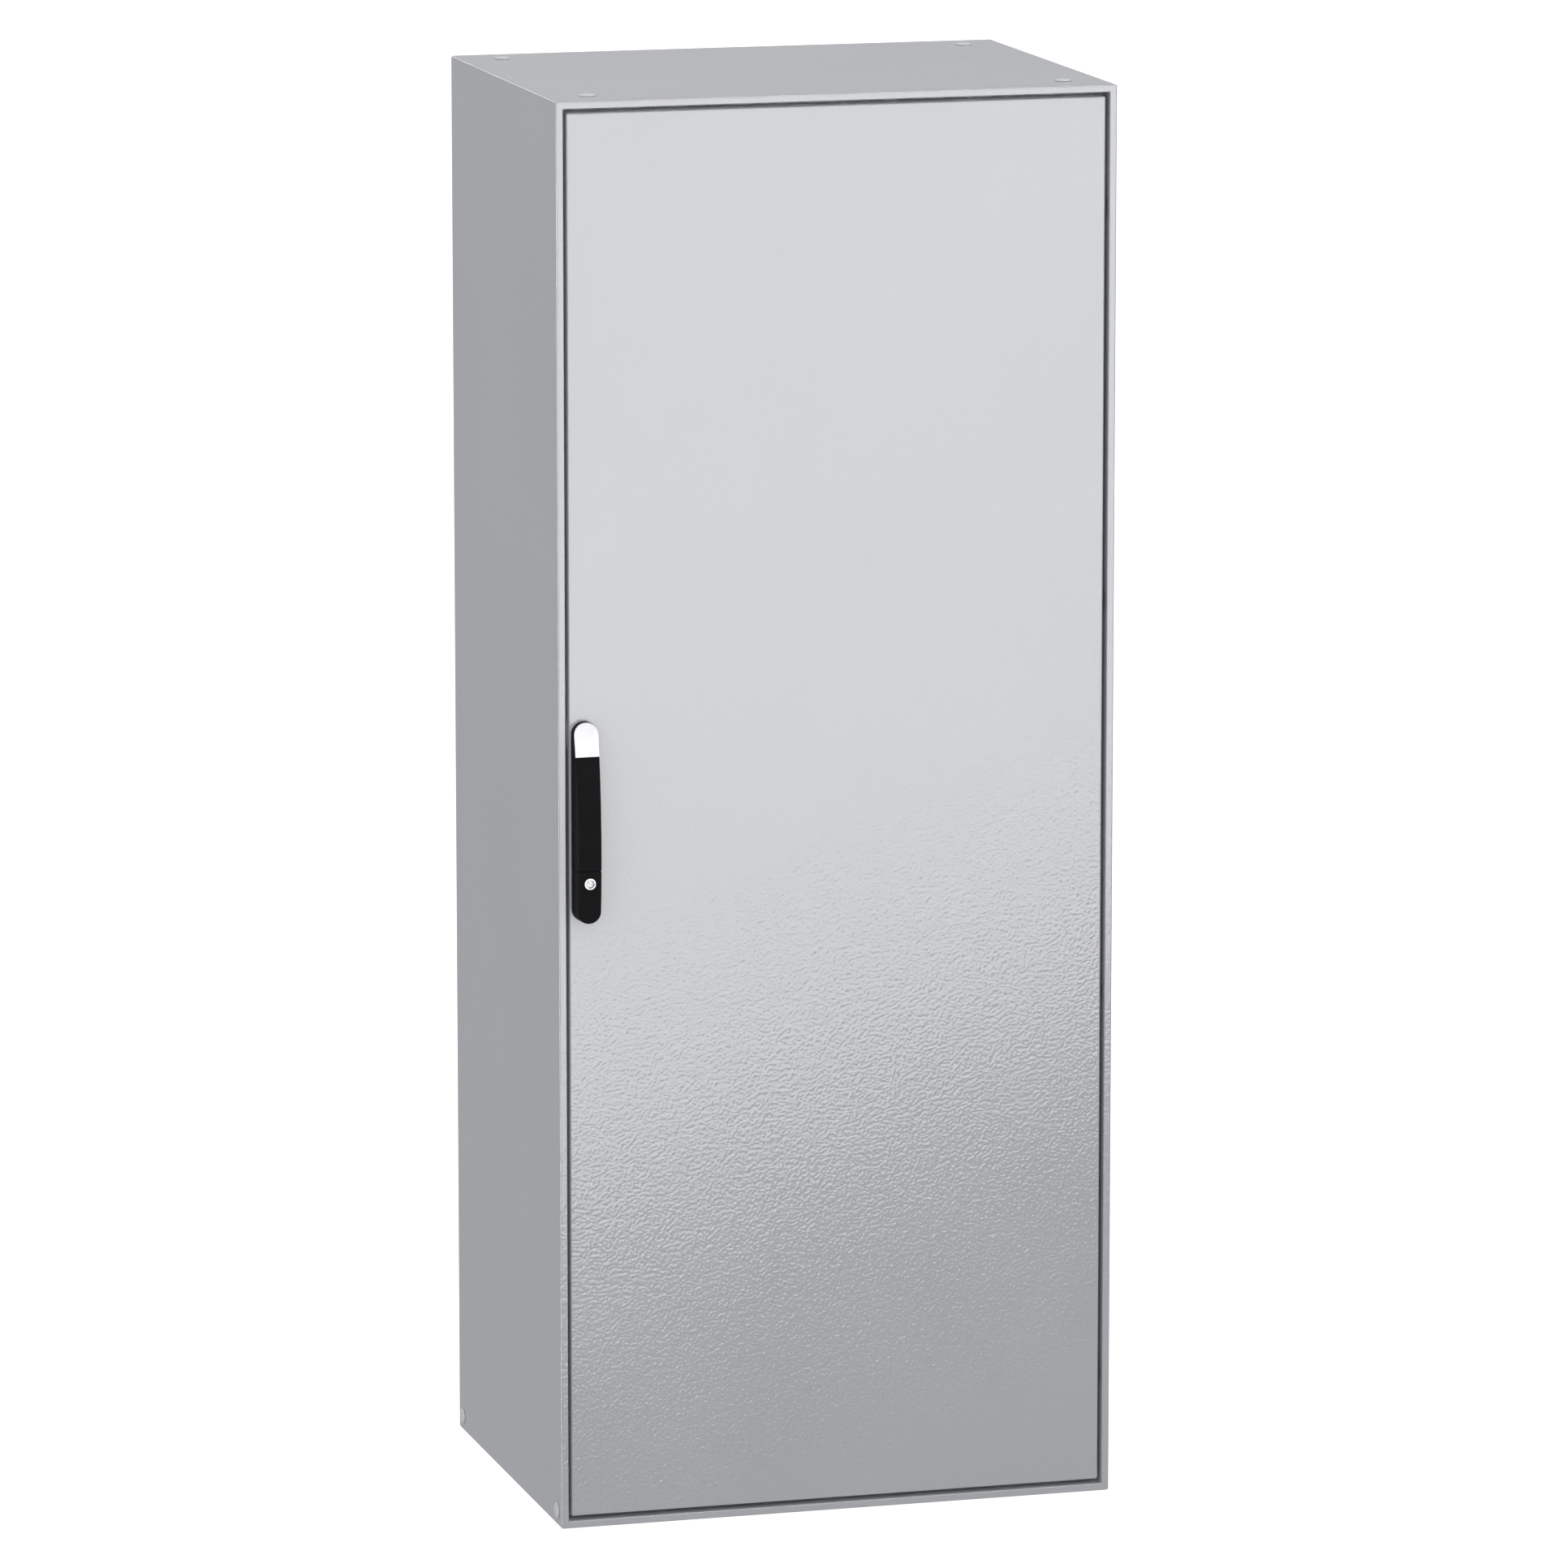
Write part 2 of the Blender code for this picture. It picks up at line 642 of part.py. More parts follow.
def make_hinge_leaf(number, z):
    """The door's half: a plate on the inside of the door with an ear above and below the lug."""
    plate_low = at_depth(DOOR_BACK_DEPTH + GAP)
    plate = box(
        (HINGE_X - 0.028, HINGE_X - 0.0062), (plate_low, plate_low + 0.0025), (z - 0.020, z + 0.020)
    )
    leaf = add_object(f"hinge_leaf_{number}", plate, ZINC, DOOR, (HINGE_X, HINGE_Y, z))
    outline = arc((HINGE_X, HINGE_Y), KNUCKLE_RADIUS, -90, 90, 8)
    outline += [(HINGE_X - 0.018, plate_low + 0.002), (HINGE_X - 0.018, plate_low + 0.0002)]
    ears = bmesh.new()
    for side in (-1, 1):
        ends = sorted((z + side * (LUG_HALF + 0.0004), z + side * (LUG_HALF + 0.0004 + EAR_THICKNESS)))
        prism(outline, "Z", *ends, ears)
    boolean(leaf, ears, "UNION")
    bore = prism(circle((HINGE_X, HINGE_Y), PIN_RADIUS + PIN_CLEARANCE, 24), "Z", z - 0.02, z + 0.02)
    boolean(leaf, bore)


def make_hinge_pin(number, z):
    end = LUG_HALF + EAR_THICKNESS + 0.0007
    profile = [
        (0, end + 0.0022),
        (0.0032, end + 0.0022),
        (0.0038, end + 0.0016),
        (0.0038, end),
        (PIN_RADIUS, end),
        (PIN_RADIUS, -end - 0.002),
        (PIN_RADIUS - 0.0006, -end - 0.0028),
        (0, -end - 0.0028),
    ]
    centre = (HINGE_X, HINGE_Y, z)
    add_object(f"hinge_pin_{number}", turned(profile, centre, (0, 0, 1), 20), ZINC, DOOR, centre)


def make_hinges():
    for number, z in enumerate(HINGE_HEIGHTS, 1):
        make_hinge_bracket(number, z)
        make_hinge_leaf(number, z)
        make_hinge_pin(number, z)


# ---------------------------------------------------------------- handle

def bow(z):
    """The rise of the handle's front at height z, an arc of a large radius."""
    return BOW_RISE - BOW_RADIUS + math.sqrt(BOW_RADIUS**2 - (z - BOW_CENTRE_Z) ** 2)


def bow_points(z_from, z_to, steps, inset=0.0):
    heights = [z_from + (z_to - z_from) * i / steps for i in range(steps + 1)]
    return [(bow(z) - inset, z) for z in heights]


def handle_envelope():
    """The stadium outline of the whole handle, drawn in by its draft as it rises."""
    rings = []
    for rise in (-0.001, 0.0, 0.040):
        radius = HANDLE_WIDTH / 2 - max(rise, 0) * HANDLE_DRAFT
        upper = arc((HANDLE_X, SWIVEL_Z), radius, 0, 180, 16)
        bottom = HANDLE_TOP - HANDLE_HEIGHT + HANDLE_WIDTH / 2
        lower = arc((HANDLE_X, bottom), radius, 180, 360, 16)
        rings.append([(x, at_rise(rise), z) for x, z in upper + lower])
    return loft(bmesh.new(), rings)


def side_prism(outline, half=HANDLE_WIDTH):
    """A solid from a side view of the handle in (rise, z), half as wide on each side as half says."""
    return prism([(at_rise(rise), z) for rise, z in outline], "X", HANDLE_X - half, HANDLE_X + half)


def nose_curve():
    """The side view's curve round the lever's lower end, from its front back to its flat back."""
    curve = []
    for i in range(7):
        angle = math.radians(15 * i)
        rise = LEVER_BACK + (bow(SEAM_Z) - LEVER_BACK) * (1 - math.sin(angle))
        curve.append((rise, SEAM_Z + NOSE_HEIGHT * (1 - math.cos(angle))))
    return curve


def swivel_cylinder(radius, rise_from, rise_to, steps=96):
    return prism(circle((HANDLE_X, SWIVEL_Z), radius, steps), "Y", at_rise(rise_to), at_rise(rise_from))


def make_handle_base():
    """The fixed black base: a round pocket for the hub, a tray under the lever, and the lock's block."""
    bottom = HANDLE_TOP - HANDLE_HEIGHT
    drop = SEAM_GAP + 0.0004
    scoop = [(rise, z - drop) for rise, z in nose_curve()]
    scoop[0] = (bow(SEAM_Z - SEAM_GAP), SEAM_Z - SEAM_GAP)
    scoop[-1] = (TRAY_RISE, scoop[-1][1])
    outline = [(GAP, HANDLE_TOP + 0.01), (TRAY_RISE, HANDLE_TOP + 0.01)]
    outline += list(reversed(scoop))
    outline += bow_points(SEAM_Z - 0.008, bottom - 0.002, 6)
    outline += [(GAP, bottom - 0.002)]
    base = add_object("handle_base", side_prism(outline), BLACK_PLASTIC, DOOR, (HANDLE_X, FACE_Y, SWIVEL_Z))
    boolean(base, handle_envelope(), "INTERSECT")
    boolean(base, swivel_cylinder(POCKET_RADIUS, POCKET_RISE, 0.05))
    holes = swivel_cylinder(0.0059, -0.002, 0.02, 20)
    barrel = circle((HANDLE_X, LOCK_Z), LOCK_RADIUS + GAP, 32)
    prism(barrel, "Y", at_rise(0.05), at_rise(-0.002), holes)
    boolean(base, holes)


def make_lock_barrel():
    """The plated barrel, with an open mouth for the key."""
    centre = (HANDLE_X, FACE_Y, LOCK_Z)
    mouth_floor = 0.0275
    profile = [
        (0, mouth_floor),
        (LOCK_MOUTH - 0.0002, mouth_floor),
        (LOCK_MOUTH, LOCK_RISE - 0.0006),
        (LOCK_MOUTH + 0.0006, LOCK_RISE),
        (LOCK_RADIUS - 0.0010, LOCK_RISE),
        (LOCK_RADIUS - 0.0002, LOCK_RISE - 0.0010),
        (LOCK_RADIUS, LOCK_RISE - 0.0022),
        (LOCK_RADIUS, -0.010),
        (0, -0.010),
    ]
    barrel = add_object("lock_barrel", turned(profile, centre, (0, -1, 0), 32), CHROME, DOOR, centre)
    bore = turned([(0, 0.05), (0.0035, 0.05), (0.0035, 0.015), (0, 0.015)], centre, (0, -1, 0), 20)
    boolean(barrel, bore)


def make_lock_insert():
    """The double-bar key insert: a disc in the mouth with a centre post and two bars."""
    centre = (HANDLE_X, FACE_Y, LOCK_Z)
    profile = [
        (0, 0.0335),
        (0.0012, 0.0335),
        (0.0016, 0.0330),
        (0.0016, 0.0295),
        (LOCK_MOUTH - 0.0006, 0.0295),
        (LOCK_MOUTH - 0.0006, 0.0278),
        (0.0032, 0.0278),
        (0.0032, 0.017),
        (0, 0.017),
    ]
    insert = add_object("lock_insert", turned(profile, centre, (0, -1, 0), 24), CHROME, LOCK, centre)
    bars = box(
        (HANDLE_X - 0.0046, HANDLE_X + 0.0046),
        (at_rise(0.0318), at_rise(0.0290)),
        (LOCK_Z - 0.0009, LOCK_Z + 0.0009),
    )
    boolean(insert, bars, "UNION")


def lift_bore(reach):
    """A cutter for the hole that the lift pin passes through."""
    hole = circle((at_rise(LIFT_AXIS_RISE), LIFT_AXIS_Z), LIFT_PIN_RADIUS + PIN_CLEARANCE, 16)
    return prism(hole, "X", HANDLE_X - reach, HANDLE_X + reach)


def make_handle_hub():
    """The swivel under the cap: its body, the tongue that the lever hinges on, and the square spindle."""
    low = POCKET_RISE + GAP
    skin = CAP_THICKNESS + GAP
    skirt_z = SWIVEL_Z - 1.1 * HUB_RADIUS
    outline = [(low, skirt_z), (HUB_SKIRT_RISE, skirt_z), (HUB_SKIRT_RISE, CAP_LOWER_Z)]
    outline += bow_points(CAP_LOWER_Z, HANDLE_TOP + 0.002, 8, skin)
    outline += [(low, HANDLE_TOP + 0.002)]
    hub = add_object("handle_hub", side_prism(outline), BLACK_PLASTIC, SWIVEL, SWIVEL.location)
    boolean(hub, handle_envelope(), "INTERSECT")
    boolean(hub, swivel_cylinder(HUB_RADIUS, -0.05, 0.05), "INTERSECT")
    tongue = arc((LIFT_AXIS_RISE, LIFT_AXIS_Z), LIFT_TONGUE, -90, 90, 8)
    root = HUB_SKIRT_RISE - 0.002
    tongue += [(root, LIFT_AXIS_Z + LIFT_TONGUE), (root, LIFT_AXIS_Z - LIFT_TONGUE)]
    boolean(hub, side_prism(tongue, LIFT_TONGUE_HALF), "UNION")
    boolean(hub, lift_bore(0.01))
    half = SPINDLE / 2
    spindle = box(
        (HANDLE_X - half, HANDLE_X + half),
        (at_rise(low + 0.001), at_depth(CAM_DEPTHS[1] + 0.002)),
        (SWIVEL_Z - half, SWIVEL_Z + half),
    )
    boolean(hub, spindle, "UNION")


def make_handle_cap():
    """The white label cap, following the handle's bow."""
    outline = bow_points(CAP_LOWER_Z, HANDLE_TOP + 0.002, 8)
    outline += reversed(bow_points(CAP_LOWER_Z, HANDLE_TOP + 0.002, 8, CAP_THICKNESS))
    cap = add_object("handle_cap", side_prism(outline), WHITE_PLASTIC, SWIVEL, SWIVEL.location)
    boolean(cap, handle_envelope(), "INTERSECT")


def make_handle_lever():
    """The lever: a bowed front, a round nose above the lock block, and a knuckle slotted for the tongue."""
    axis = Vector((LIFT_AXIS_RISE, LIFT_AXIS_Z))
    meets_bow = math.degrees(math.acos((bow(LIFT_AXIS_Z + 0.0033) - LIFT_AXIS_RISE) / LIFT_KNUCKLE))
    outline = [
        (LEVER_BACK, SWIVEL_Z - HUB_RADIUS - 0.0024),
        (LIFT_AXIS_RISE - LIFT_KNUCKLE, SWIVEL_Z - HUB_RADIUS - 0.0004),
    ]
    outline += arc(axis, LIFT_KNUCKLE, 180, meets_bow, 8)
    outline += bow_points(LIFT_AXIS_Z + 0.0025, SEAM_Z + 0.004, 16)
    outline += nose_curve()
    lever = add_object("handle_lever", side_prism(outline), BLACK_PLASTIC, LEVER, LEVER.location)
    boolean(lever, handle_envelope(), "INTERSECT")
    boolean(lever, swivel_cylinder(SWIVEL_Z - SEAM_Z, 0, 0.05, 128), "INTERSECT")
    room = LIFT_TONGUE + GAP
    swept = arc(axis, room, -90, 90 - LIFT_ANGLE, 8)
    lean = math.radians(180 - LIFT_ANGLE)
    back = Vector(swept[-1]) + 0.012 * Vector((math.cos(lean), math.sin(lean)))
    swept += [tuple(back), (LEVER_BACK - 0.003, back.y), (LEVER_BACK - 0.003, LIFT_AXIS_Z - room)]
    boolean(lever, side_prism(swept, LIFT_TONGUE_HALF + 0.0004))
    boolean(lever, lift_bore(0.03))


def make_lever_pin():
    half = HANDLE_WIDTH / 2 - 0.0018
    profile = [(0, half), (LIFT_PIN_RADIUS, half), (LIFT_PIN_RADIUS, -half), (0, -half)]
    centre = (HANDLE_X, at_rise(LIFT_AXIS_RISE), LIFT_AXIS_Z)
    add_object("lever_pin", turned(profile, centre, (1, 0, 0), 16), ZINC, LEVER, LEVER.location)


# ---------------------------------------------------------------- lock works

def involute(base, radius):
    """The angle that an involute of the base circle has turned by at that radius."""
    angle = math.acos(base / radius)
    return math.tan(angle) - angle


def involute_gear(teeth, module, steps=4):
    """The outline of a spur gear with a tooth on +X, centred on (0, 0)."""
    pitch = module * teeth / 2
    base = pitch * math.cos(PRESSURE_ANGLE)
    tip, root = pitch + 0.9 * module, pitch - 1.2 * module
    half_pitch = (math.pi * module / 2 - BACKLASH) / (2 * pitch)
    flank = []
    for i in range(steps + 1):
        radius = max(base, root) + (tip - max(base, root)) * i / steps
        flank.append((radius, half_pitch + involute(base, pitch) - involute(base, radius)))
    points = []
    for tooth in range(teeth):
        middle = math.tau * tooth / teeth
        side = [(root, flank[0][1])] + flank
        polar = [(radius, middle - angle) for radius, angle in side]
        polar += [(radius, middle + angle) for radius, angle in reversed(side)]
        points += [(radius * math.cos(angle), radius * math.sin(angle)) for radius, angle in polar]
    return points


def make_pinion():
    outline = [(HANDLE_X + a, SWIVEL_Z + b) for a, b in involute_gear(PINION_TEETH, MODULE)]
    low, high = (at_depth(depth) for depth in ROD_DEPTHS)
    pinion = add_object("lock_pinion", prism(outline, "Y", low, high), ZINC, SWIVEL, SWIVEL.location)
    half = SPINDLE / 2 + 0.0001
    square = box(
        (HANDLE_X - half, HANDLE_X + half), (low - 0.001, high + 0.001), (SWIVEL_Z - half, SWIVEL_Z + half)
    )
    boolean(pinion, square)


def rod_outline(side, end_from_axis, teeth_from, teeth_to, far_end):
    """A rod with rack teeth towards the pinion: side -1 is left and goes up, 1 is right and goes down."""
    pitch = math.pi * MODULE
    tip = PITCH_RADIUS - RACK_ADDENDUM
    flat = (pitch / 2 - BACKLASH) / 2
    slope = math.tan(PRESSURE_ANGLE)
    at_tip = flat - RACK_ADDENDUM * slope
    at_root = flat + (ROD_INNER - PITCH_RADIUS) * slope
    points = []
    for i in range(teeth_from, teeth_to + 1):
        middle = (i + 0.5) * pitch
        points += [
            (ROD_INNER, middle - at_root),
            (tip, middle - at_tip),
            (tip, middle + at_tip),
            (ROD_INNER, middle + at_root),
        ]
    points = [(ROD_INNER, end_from_axis)] + points + [(ROD_INNER, far_end), (ROD_OUTER, far_end)]
    points += [(ROD_OUTER, end_from_axis)]
    return [(HANDLE_X + side * a, SWIVEL_Z - side * b) for a, b in points]


def make_rods():
    """Two flat rods, drawn together by the pinion when the handle turns, each with a glide on its end."""
    low, high = (at_depth(depth) for depth in ROD_DEPTHS)
    ends = {"upper": (-1, UPPER_ROD_TOP, UPPER_ROD), "lower": (1, LOWER_ROD_BOTTOM, LOWER_ROD)}
    for word, (side, far_z, parent) in ends.items():
        outline = rod_outline(side, -0.009, -3, 6, abs(far_z - SWIVEL_Z))
        add_object(f"{word}_rod", prism(outline, "Y", low, high), ZINC, parent, parent.location)
        tip_x = HANDLE_X + side * (ROD_INNER + ROD_OUTER) / 2
        far = -side
        start = far_z - far * TIP_LENGTH * 0.6
        z = sorted((start, start + far * TIP_LENGTH))
        tip_y = [at_depth(depth) for depth in TIP_DEPTHS]
        tip = box((tip_x - TIP_WIDTH / 2, tip_x + TIP_WIDTH / 2), tip_y, z)
        glide = add_object(f"{word}_rod_tip", tip, BLACK_PLASTIC, parent, parent.location)
        pocket = box(
            (tip_x - ROD_WIDTH / 2 - GAP, tip_x + ROD_WIDTH / 2 + GAP),
            (low - GAP, high + GAP),
            sorted((start - far * 0.001, far_z + far * GAP)),
        )
        boolean(glide, pocket)


def make_rod_guides():
    for word, side in (("upper", -1), ("lower", 1)):
        x = HANDLE_X + side * (ROD_INNER + ROD_OUTER) / 2
        z = GUIDE_HEIGHTS[word]
        half = ROD_WIDTH / 2 + 0.0004
        outer = half + 0.0012
        ends = (at_depth(DOOR_BACK_DEPTH + GAP), at_depth(0.021))
        block = box((x - outer, x + outer), ends, (z - 0.012, z + 0.012))
        guide = add_object(f"rod_guide_{word}", block, BLACK_PLASTIC, DOOR, (x, at_depth(0.013), z))
        low, high = (at_depth(depth) for depth in ROD_DEPTHS)
        boolean(guide, box((x - half, x + half), (low - 0.0004, high + 0.0004), (z - 0.02, z + 0.02)))


def make_gearbox():
    """A folded cover over the pinion, open above and below for the rods."""
    front, back = (at_depth(depth) for depth in GEARBOX_DEPTHS)
    a, b = HANDLE_X - GEARBOX_HALF, HANDLE_X + GEARBOX_HALF
    wall = 0.0009
    outline = [
        (a, front),
        (a + wall, front),
        (a + wall, back - SHEET),
        (b - wall, back - SHEET),
        (b - wall, front),
        (b, front),
        (b, back),
        (a, back),
    ]
    ends = (SWIVEL_Z - GEARBOX_HALF_HEIGHT, SWIVEL_Z + GEARBOX_HALF_HEIGHT)
    cover = add_object("lock_gearbox", prism(outline, "Z", *ends), ZINC, DOOR, (HANDLE_X, front, SWIVEL_Z))
    hole = prism(circle((HANDLE_X, SWIVEL_Z), 0.0059, 20), "Y", back - 0.004, back + 0.002)
    boolean(cover, hole)


def make_latch_cam():
    """The middle catch: a plate on the spindle whose tongue points to the frame when the door is shut."""
    half = 0.007
    reach_angle = math.degrees(math.asin(half / CAM_REACH))
    outline = arc((0, 0), CAM_REACH, 180 - reach_angle, 180 + reach_angle, 6)
    outline += arc((0, 0), 0.0095, 180 + math.degrees(math.asin(half / 0.0095)), 490, 10)[1:-1]
    low, high = (at_depth(depth) for depth in CAM_DEPTHS)
    placed = [(HANDLE_X + a, SWIVEL_Z + b) for a, b in outline]
    cam = add_object("latch_cam", prism(placed, "Y", low, high), ZINC, SWIVEL, SWIVEL.location)
    square = SPINDLE / 2 + 0.0001
    through = (low - 0.001, high + 0.001)
    hole = box(
        (HANDLE_X - square, HANDLE_X + square), through, (SWIVEL_Z - square, SWIVEL_Z + square)
    )
    boolean(cam, hole)


def make_keepers():
    """Catches on the body: one hook at each rod's end, and one at the frame's side for the cam."""
    floor = at_depth(GUTTER_DEPTH) - GAP
    hook = (at_depth(TIP_DEPTHS[0] - 0.0030), at_depth(TIP_DEPTHS[0] - 0.0005))
    for word, side, far_z in (("top", -1, UPPER_ROD_TOP), ("bottom", 1, LOWER_ROD_BOTTOM)):
        far = -side
        tip_end = far_z + far * TIP_LENGTH * 0.4
        leg = (tip_end + far * 0.001, tip_end + far * 0.0035)
        outline = [
            (hook[0], tip_end - far * TIP_ENGAGEMENT),
            (hook[0], leg[1]),
            (floor, leg[1]),
            (floor, tip_end - far * 0.024),
            (floor - 0.0025, tip_end - far * 0.024),
            (floor - 0.0025, leg[0]),
            (hook[1], leg[0]),
            (hook[1], tip_end - far * TIP_ENGAGEMENT),
        ]
        x = HANDLE_X + side * (ROD_INNER + ROD_OUTER) / 2
        catch = prism(outline, "X", x - 0.0055, x + 0.0070)
        add_object(f"keeper_{word}", catch, ZINC, BODY, (x, floor, tip_end))
    wall = BORDER + GAP - WIDTH / 2
    low, high = at_depth(CAM_DEPTHS[0] - 0.004), at_depth(CAM_DEPTHS[0] - 0.0005)
    outline = [
        (wall, at_depth(0.012)),
        (wall + 0.0012, at_depth(0.012)),
        (wall + 0.0012, low),
        (wall + 0.0037, low),
        (wall + 0.0037, high),
        (wall + 0.0005, high),
        (wall + 0.0005, at_depth(0.033)),
        (wall, at_depth(0.033)),
    ]
    add_object("keeper_side", prism(outline, "Z", SWIVEL_Z - 0.020, SWIVEL_Z + 0.020), ZINC, BODY)


# ---------------------------------------------------------------- build

clear_scene()

PAINT = make_material("painted steel", (0.60, 0.61, 0.62), 0.42)
GALVANISED = make_material("galvanised steel", (0.52, 0.54, 0.55), 0.38, 0.9)
ZINC = make_material("zinc-plated steel", (0.62, 0.62, 0.60), 0.32, 1.0)
CHROME = make_material("chrome", (0.85, 0.85, 0.86), 0.12, 1.0)
BRASS = make_material("brass", (0.72, 0.55, 0.25), 0.30, 1.0)
BLACK_PLASTIC = make_material("black plastic", (0.012, 0.012, 0.013), 0.45)
WHITE_PLASTIC = make_material("white plastic", (0.90, 0.90, 0.90), 0.30)
PLUG_PLASTIC = make_material("light grey plastic", (0.66, 0.67, 0.68), 0.40)
FOAM = make_material("foam seal", (0.05, 0.05, 0.05), 0.85)

BODY = add_empty("cabinet", (0, 0, 0))
DOOR = add_empty("door_axis", (HINGE_X, HINGE_Y, 0))
SWIVEL = add_empty("handle_axis", (HANDLE_X, FACE_Y, SWIVEL_Z))
LEVER = add_empty("lift_axis", (HANDLE_X, at_rise(LIFT_AXIS_RISE), LIFT_AXIS_Z))
LOCK = add_empty("lock_axis", (HANDLE_X, FACE_Y, LOCK_Z))
UPPER_ROD = add_empty("upper_rod_slide", (HANDLE_X - ROD_OUTER, at_depth(ROD_DEPTHS[0]), SWIVEL_Z))
LOWER_ROD = add_empty("lower_rod_slide", (HANDLE_X + ROD_OUTER, at_depth(ROD_DEPTHS[0]), SWIVEL_Z))

make_body_shell()
make_plugs()
make_rear_panel()
make_gland_plates()
make_mounting_plate()
make_plate_supports()
make_earth_stud("earth_stud_body", (SHEET - WIDTH / 2, at_depth(0.100), 0.120), (1, 0, 0), BODY)
make_door_panel()
make_door_gasket()
make_stiffeners()
make_earth_stud("earth_stud_door", (0.200, at_depth(DOOR_BACK_DEPTH), 0.130), (0, 1, 0), DOOR)
make_hinges()
make_handle_base()
make_lock_barrel()
make_lock_insert()
make_handle_hub()
make_handle_cap()
make_handle_lever()
make_lever_pin()
make_pinion()
make_rods()
make_rod_guides()
make_gearbox()
make_latch_cam()
make_keepers()
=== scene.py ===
import json
import math

import bmesh
import bpy
from mathutils import Matrix, Vector

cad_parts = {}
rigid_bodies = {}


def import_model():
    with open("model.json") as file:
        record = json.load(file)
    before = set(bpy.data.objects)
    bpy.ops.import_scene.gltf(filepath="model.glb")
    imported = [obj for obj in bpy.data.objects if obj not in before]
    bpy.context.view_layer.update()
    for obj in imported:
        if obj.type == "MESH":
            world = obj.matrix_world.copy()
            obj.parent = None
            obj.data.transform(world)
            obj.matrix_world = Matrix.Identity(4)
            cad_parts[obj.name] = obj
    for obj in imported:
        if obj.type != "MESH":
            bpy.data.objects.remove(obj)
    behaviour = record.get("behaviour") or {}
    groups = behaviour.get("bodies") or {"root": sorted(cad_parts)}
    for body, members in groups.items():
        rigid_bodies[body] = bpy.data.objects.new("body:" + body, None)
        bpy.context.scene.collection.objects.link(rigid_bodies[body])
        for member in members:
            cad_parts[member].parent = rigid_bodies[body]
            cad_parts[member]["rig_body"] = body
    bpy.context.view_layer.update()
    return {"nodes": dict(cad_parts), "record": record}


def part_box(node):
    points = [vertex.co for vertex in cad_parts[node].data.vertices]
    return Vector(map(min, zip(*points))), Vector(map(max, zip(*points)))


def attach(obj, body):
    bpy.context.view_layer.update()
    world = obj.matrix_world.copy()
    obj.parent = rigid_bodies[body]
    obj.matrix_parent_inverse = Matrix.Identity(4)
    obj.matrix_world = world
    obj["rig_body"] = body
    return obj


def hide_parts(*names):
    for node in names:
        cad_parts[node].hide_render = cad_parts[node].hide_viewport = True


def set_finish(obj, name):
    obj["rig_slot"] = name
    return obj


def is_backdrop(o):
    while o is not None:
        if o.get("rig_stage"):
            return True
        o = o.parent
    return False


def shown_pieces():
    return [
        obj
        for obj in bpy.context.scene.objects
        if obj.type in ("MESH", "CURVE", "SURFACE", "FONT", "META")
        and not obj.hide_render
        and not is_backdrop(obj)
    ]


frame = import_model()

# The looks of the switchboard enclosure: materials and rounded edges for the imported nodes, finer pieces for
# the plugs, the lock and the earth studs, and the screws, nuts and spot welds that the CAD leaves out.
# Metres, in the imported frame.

NODES = frame["nodes"]
RECORD = frame["record"]
SLOT_OF = {row["node"]: row["material_slot"] for row in RECORD["subparts"]}

# The camera: where it stands, how far it is turned to the right and tipped up in degrees, and its lens and
# film in millimetres
EYE = (-3.6158, -12.9405, 3.4947)
EYE_YAW = 15.618
EYE_PITCH = -10.572
LENS = 221.67
SENSOR = 36.0


# ---------------------------------------------------------------- places, read from the frame

def span(node):
    """The low corner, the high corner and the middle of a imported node's box."""
    low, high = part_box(node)
    return low, high, (low + high) / 2


SHELL_HIGH = span("body_shell")[1]
FACE_Y = span("door_panel")[0].y


# ---------------------------------------------------------------- node trees

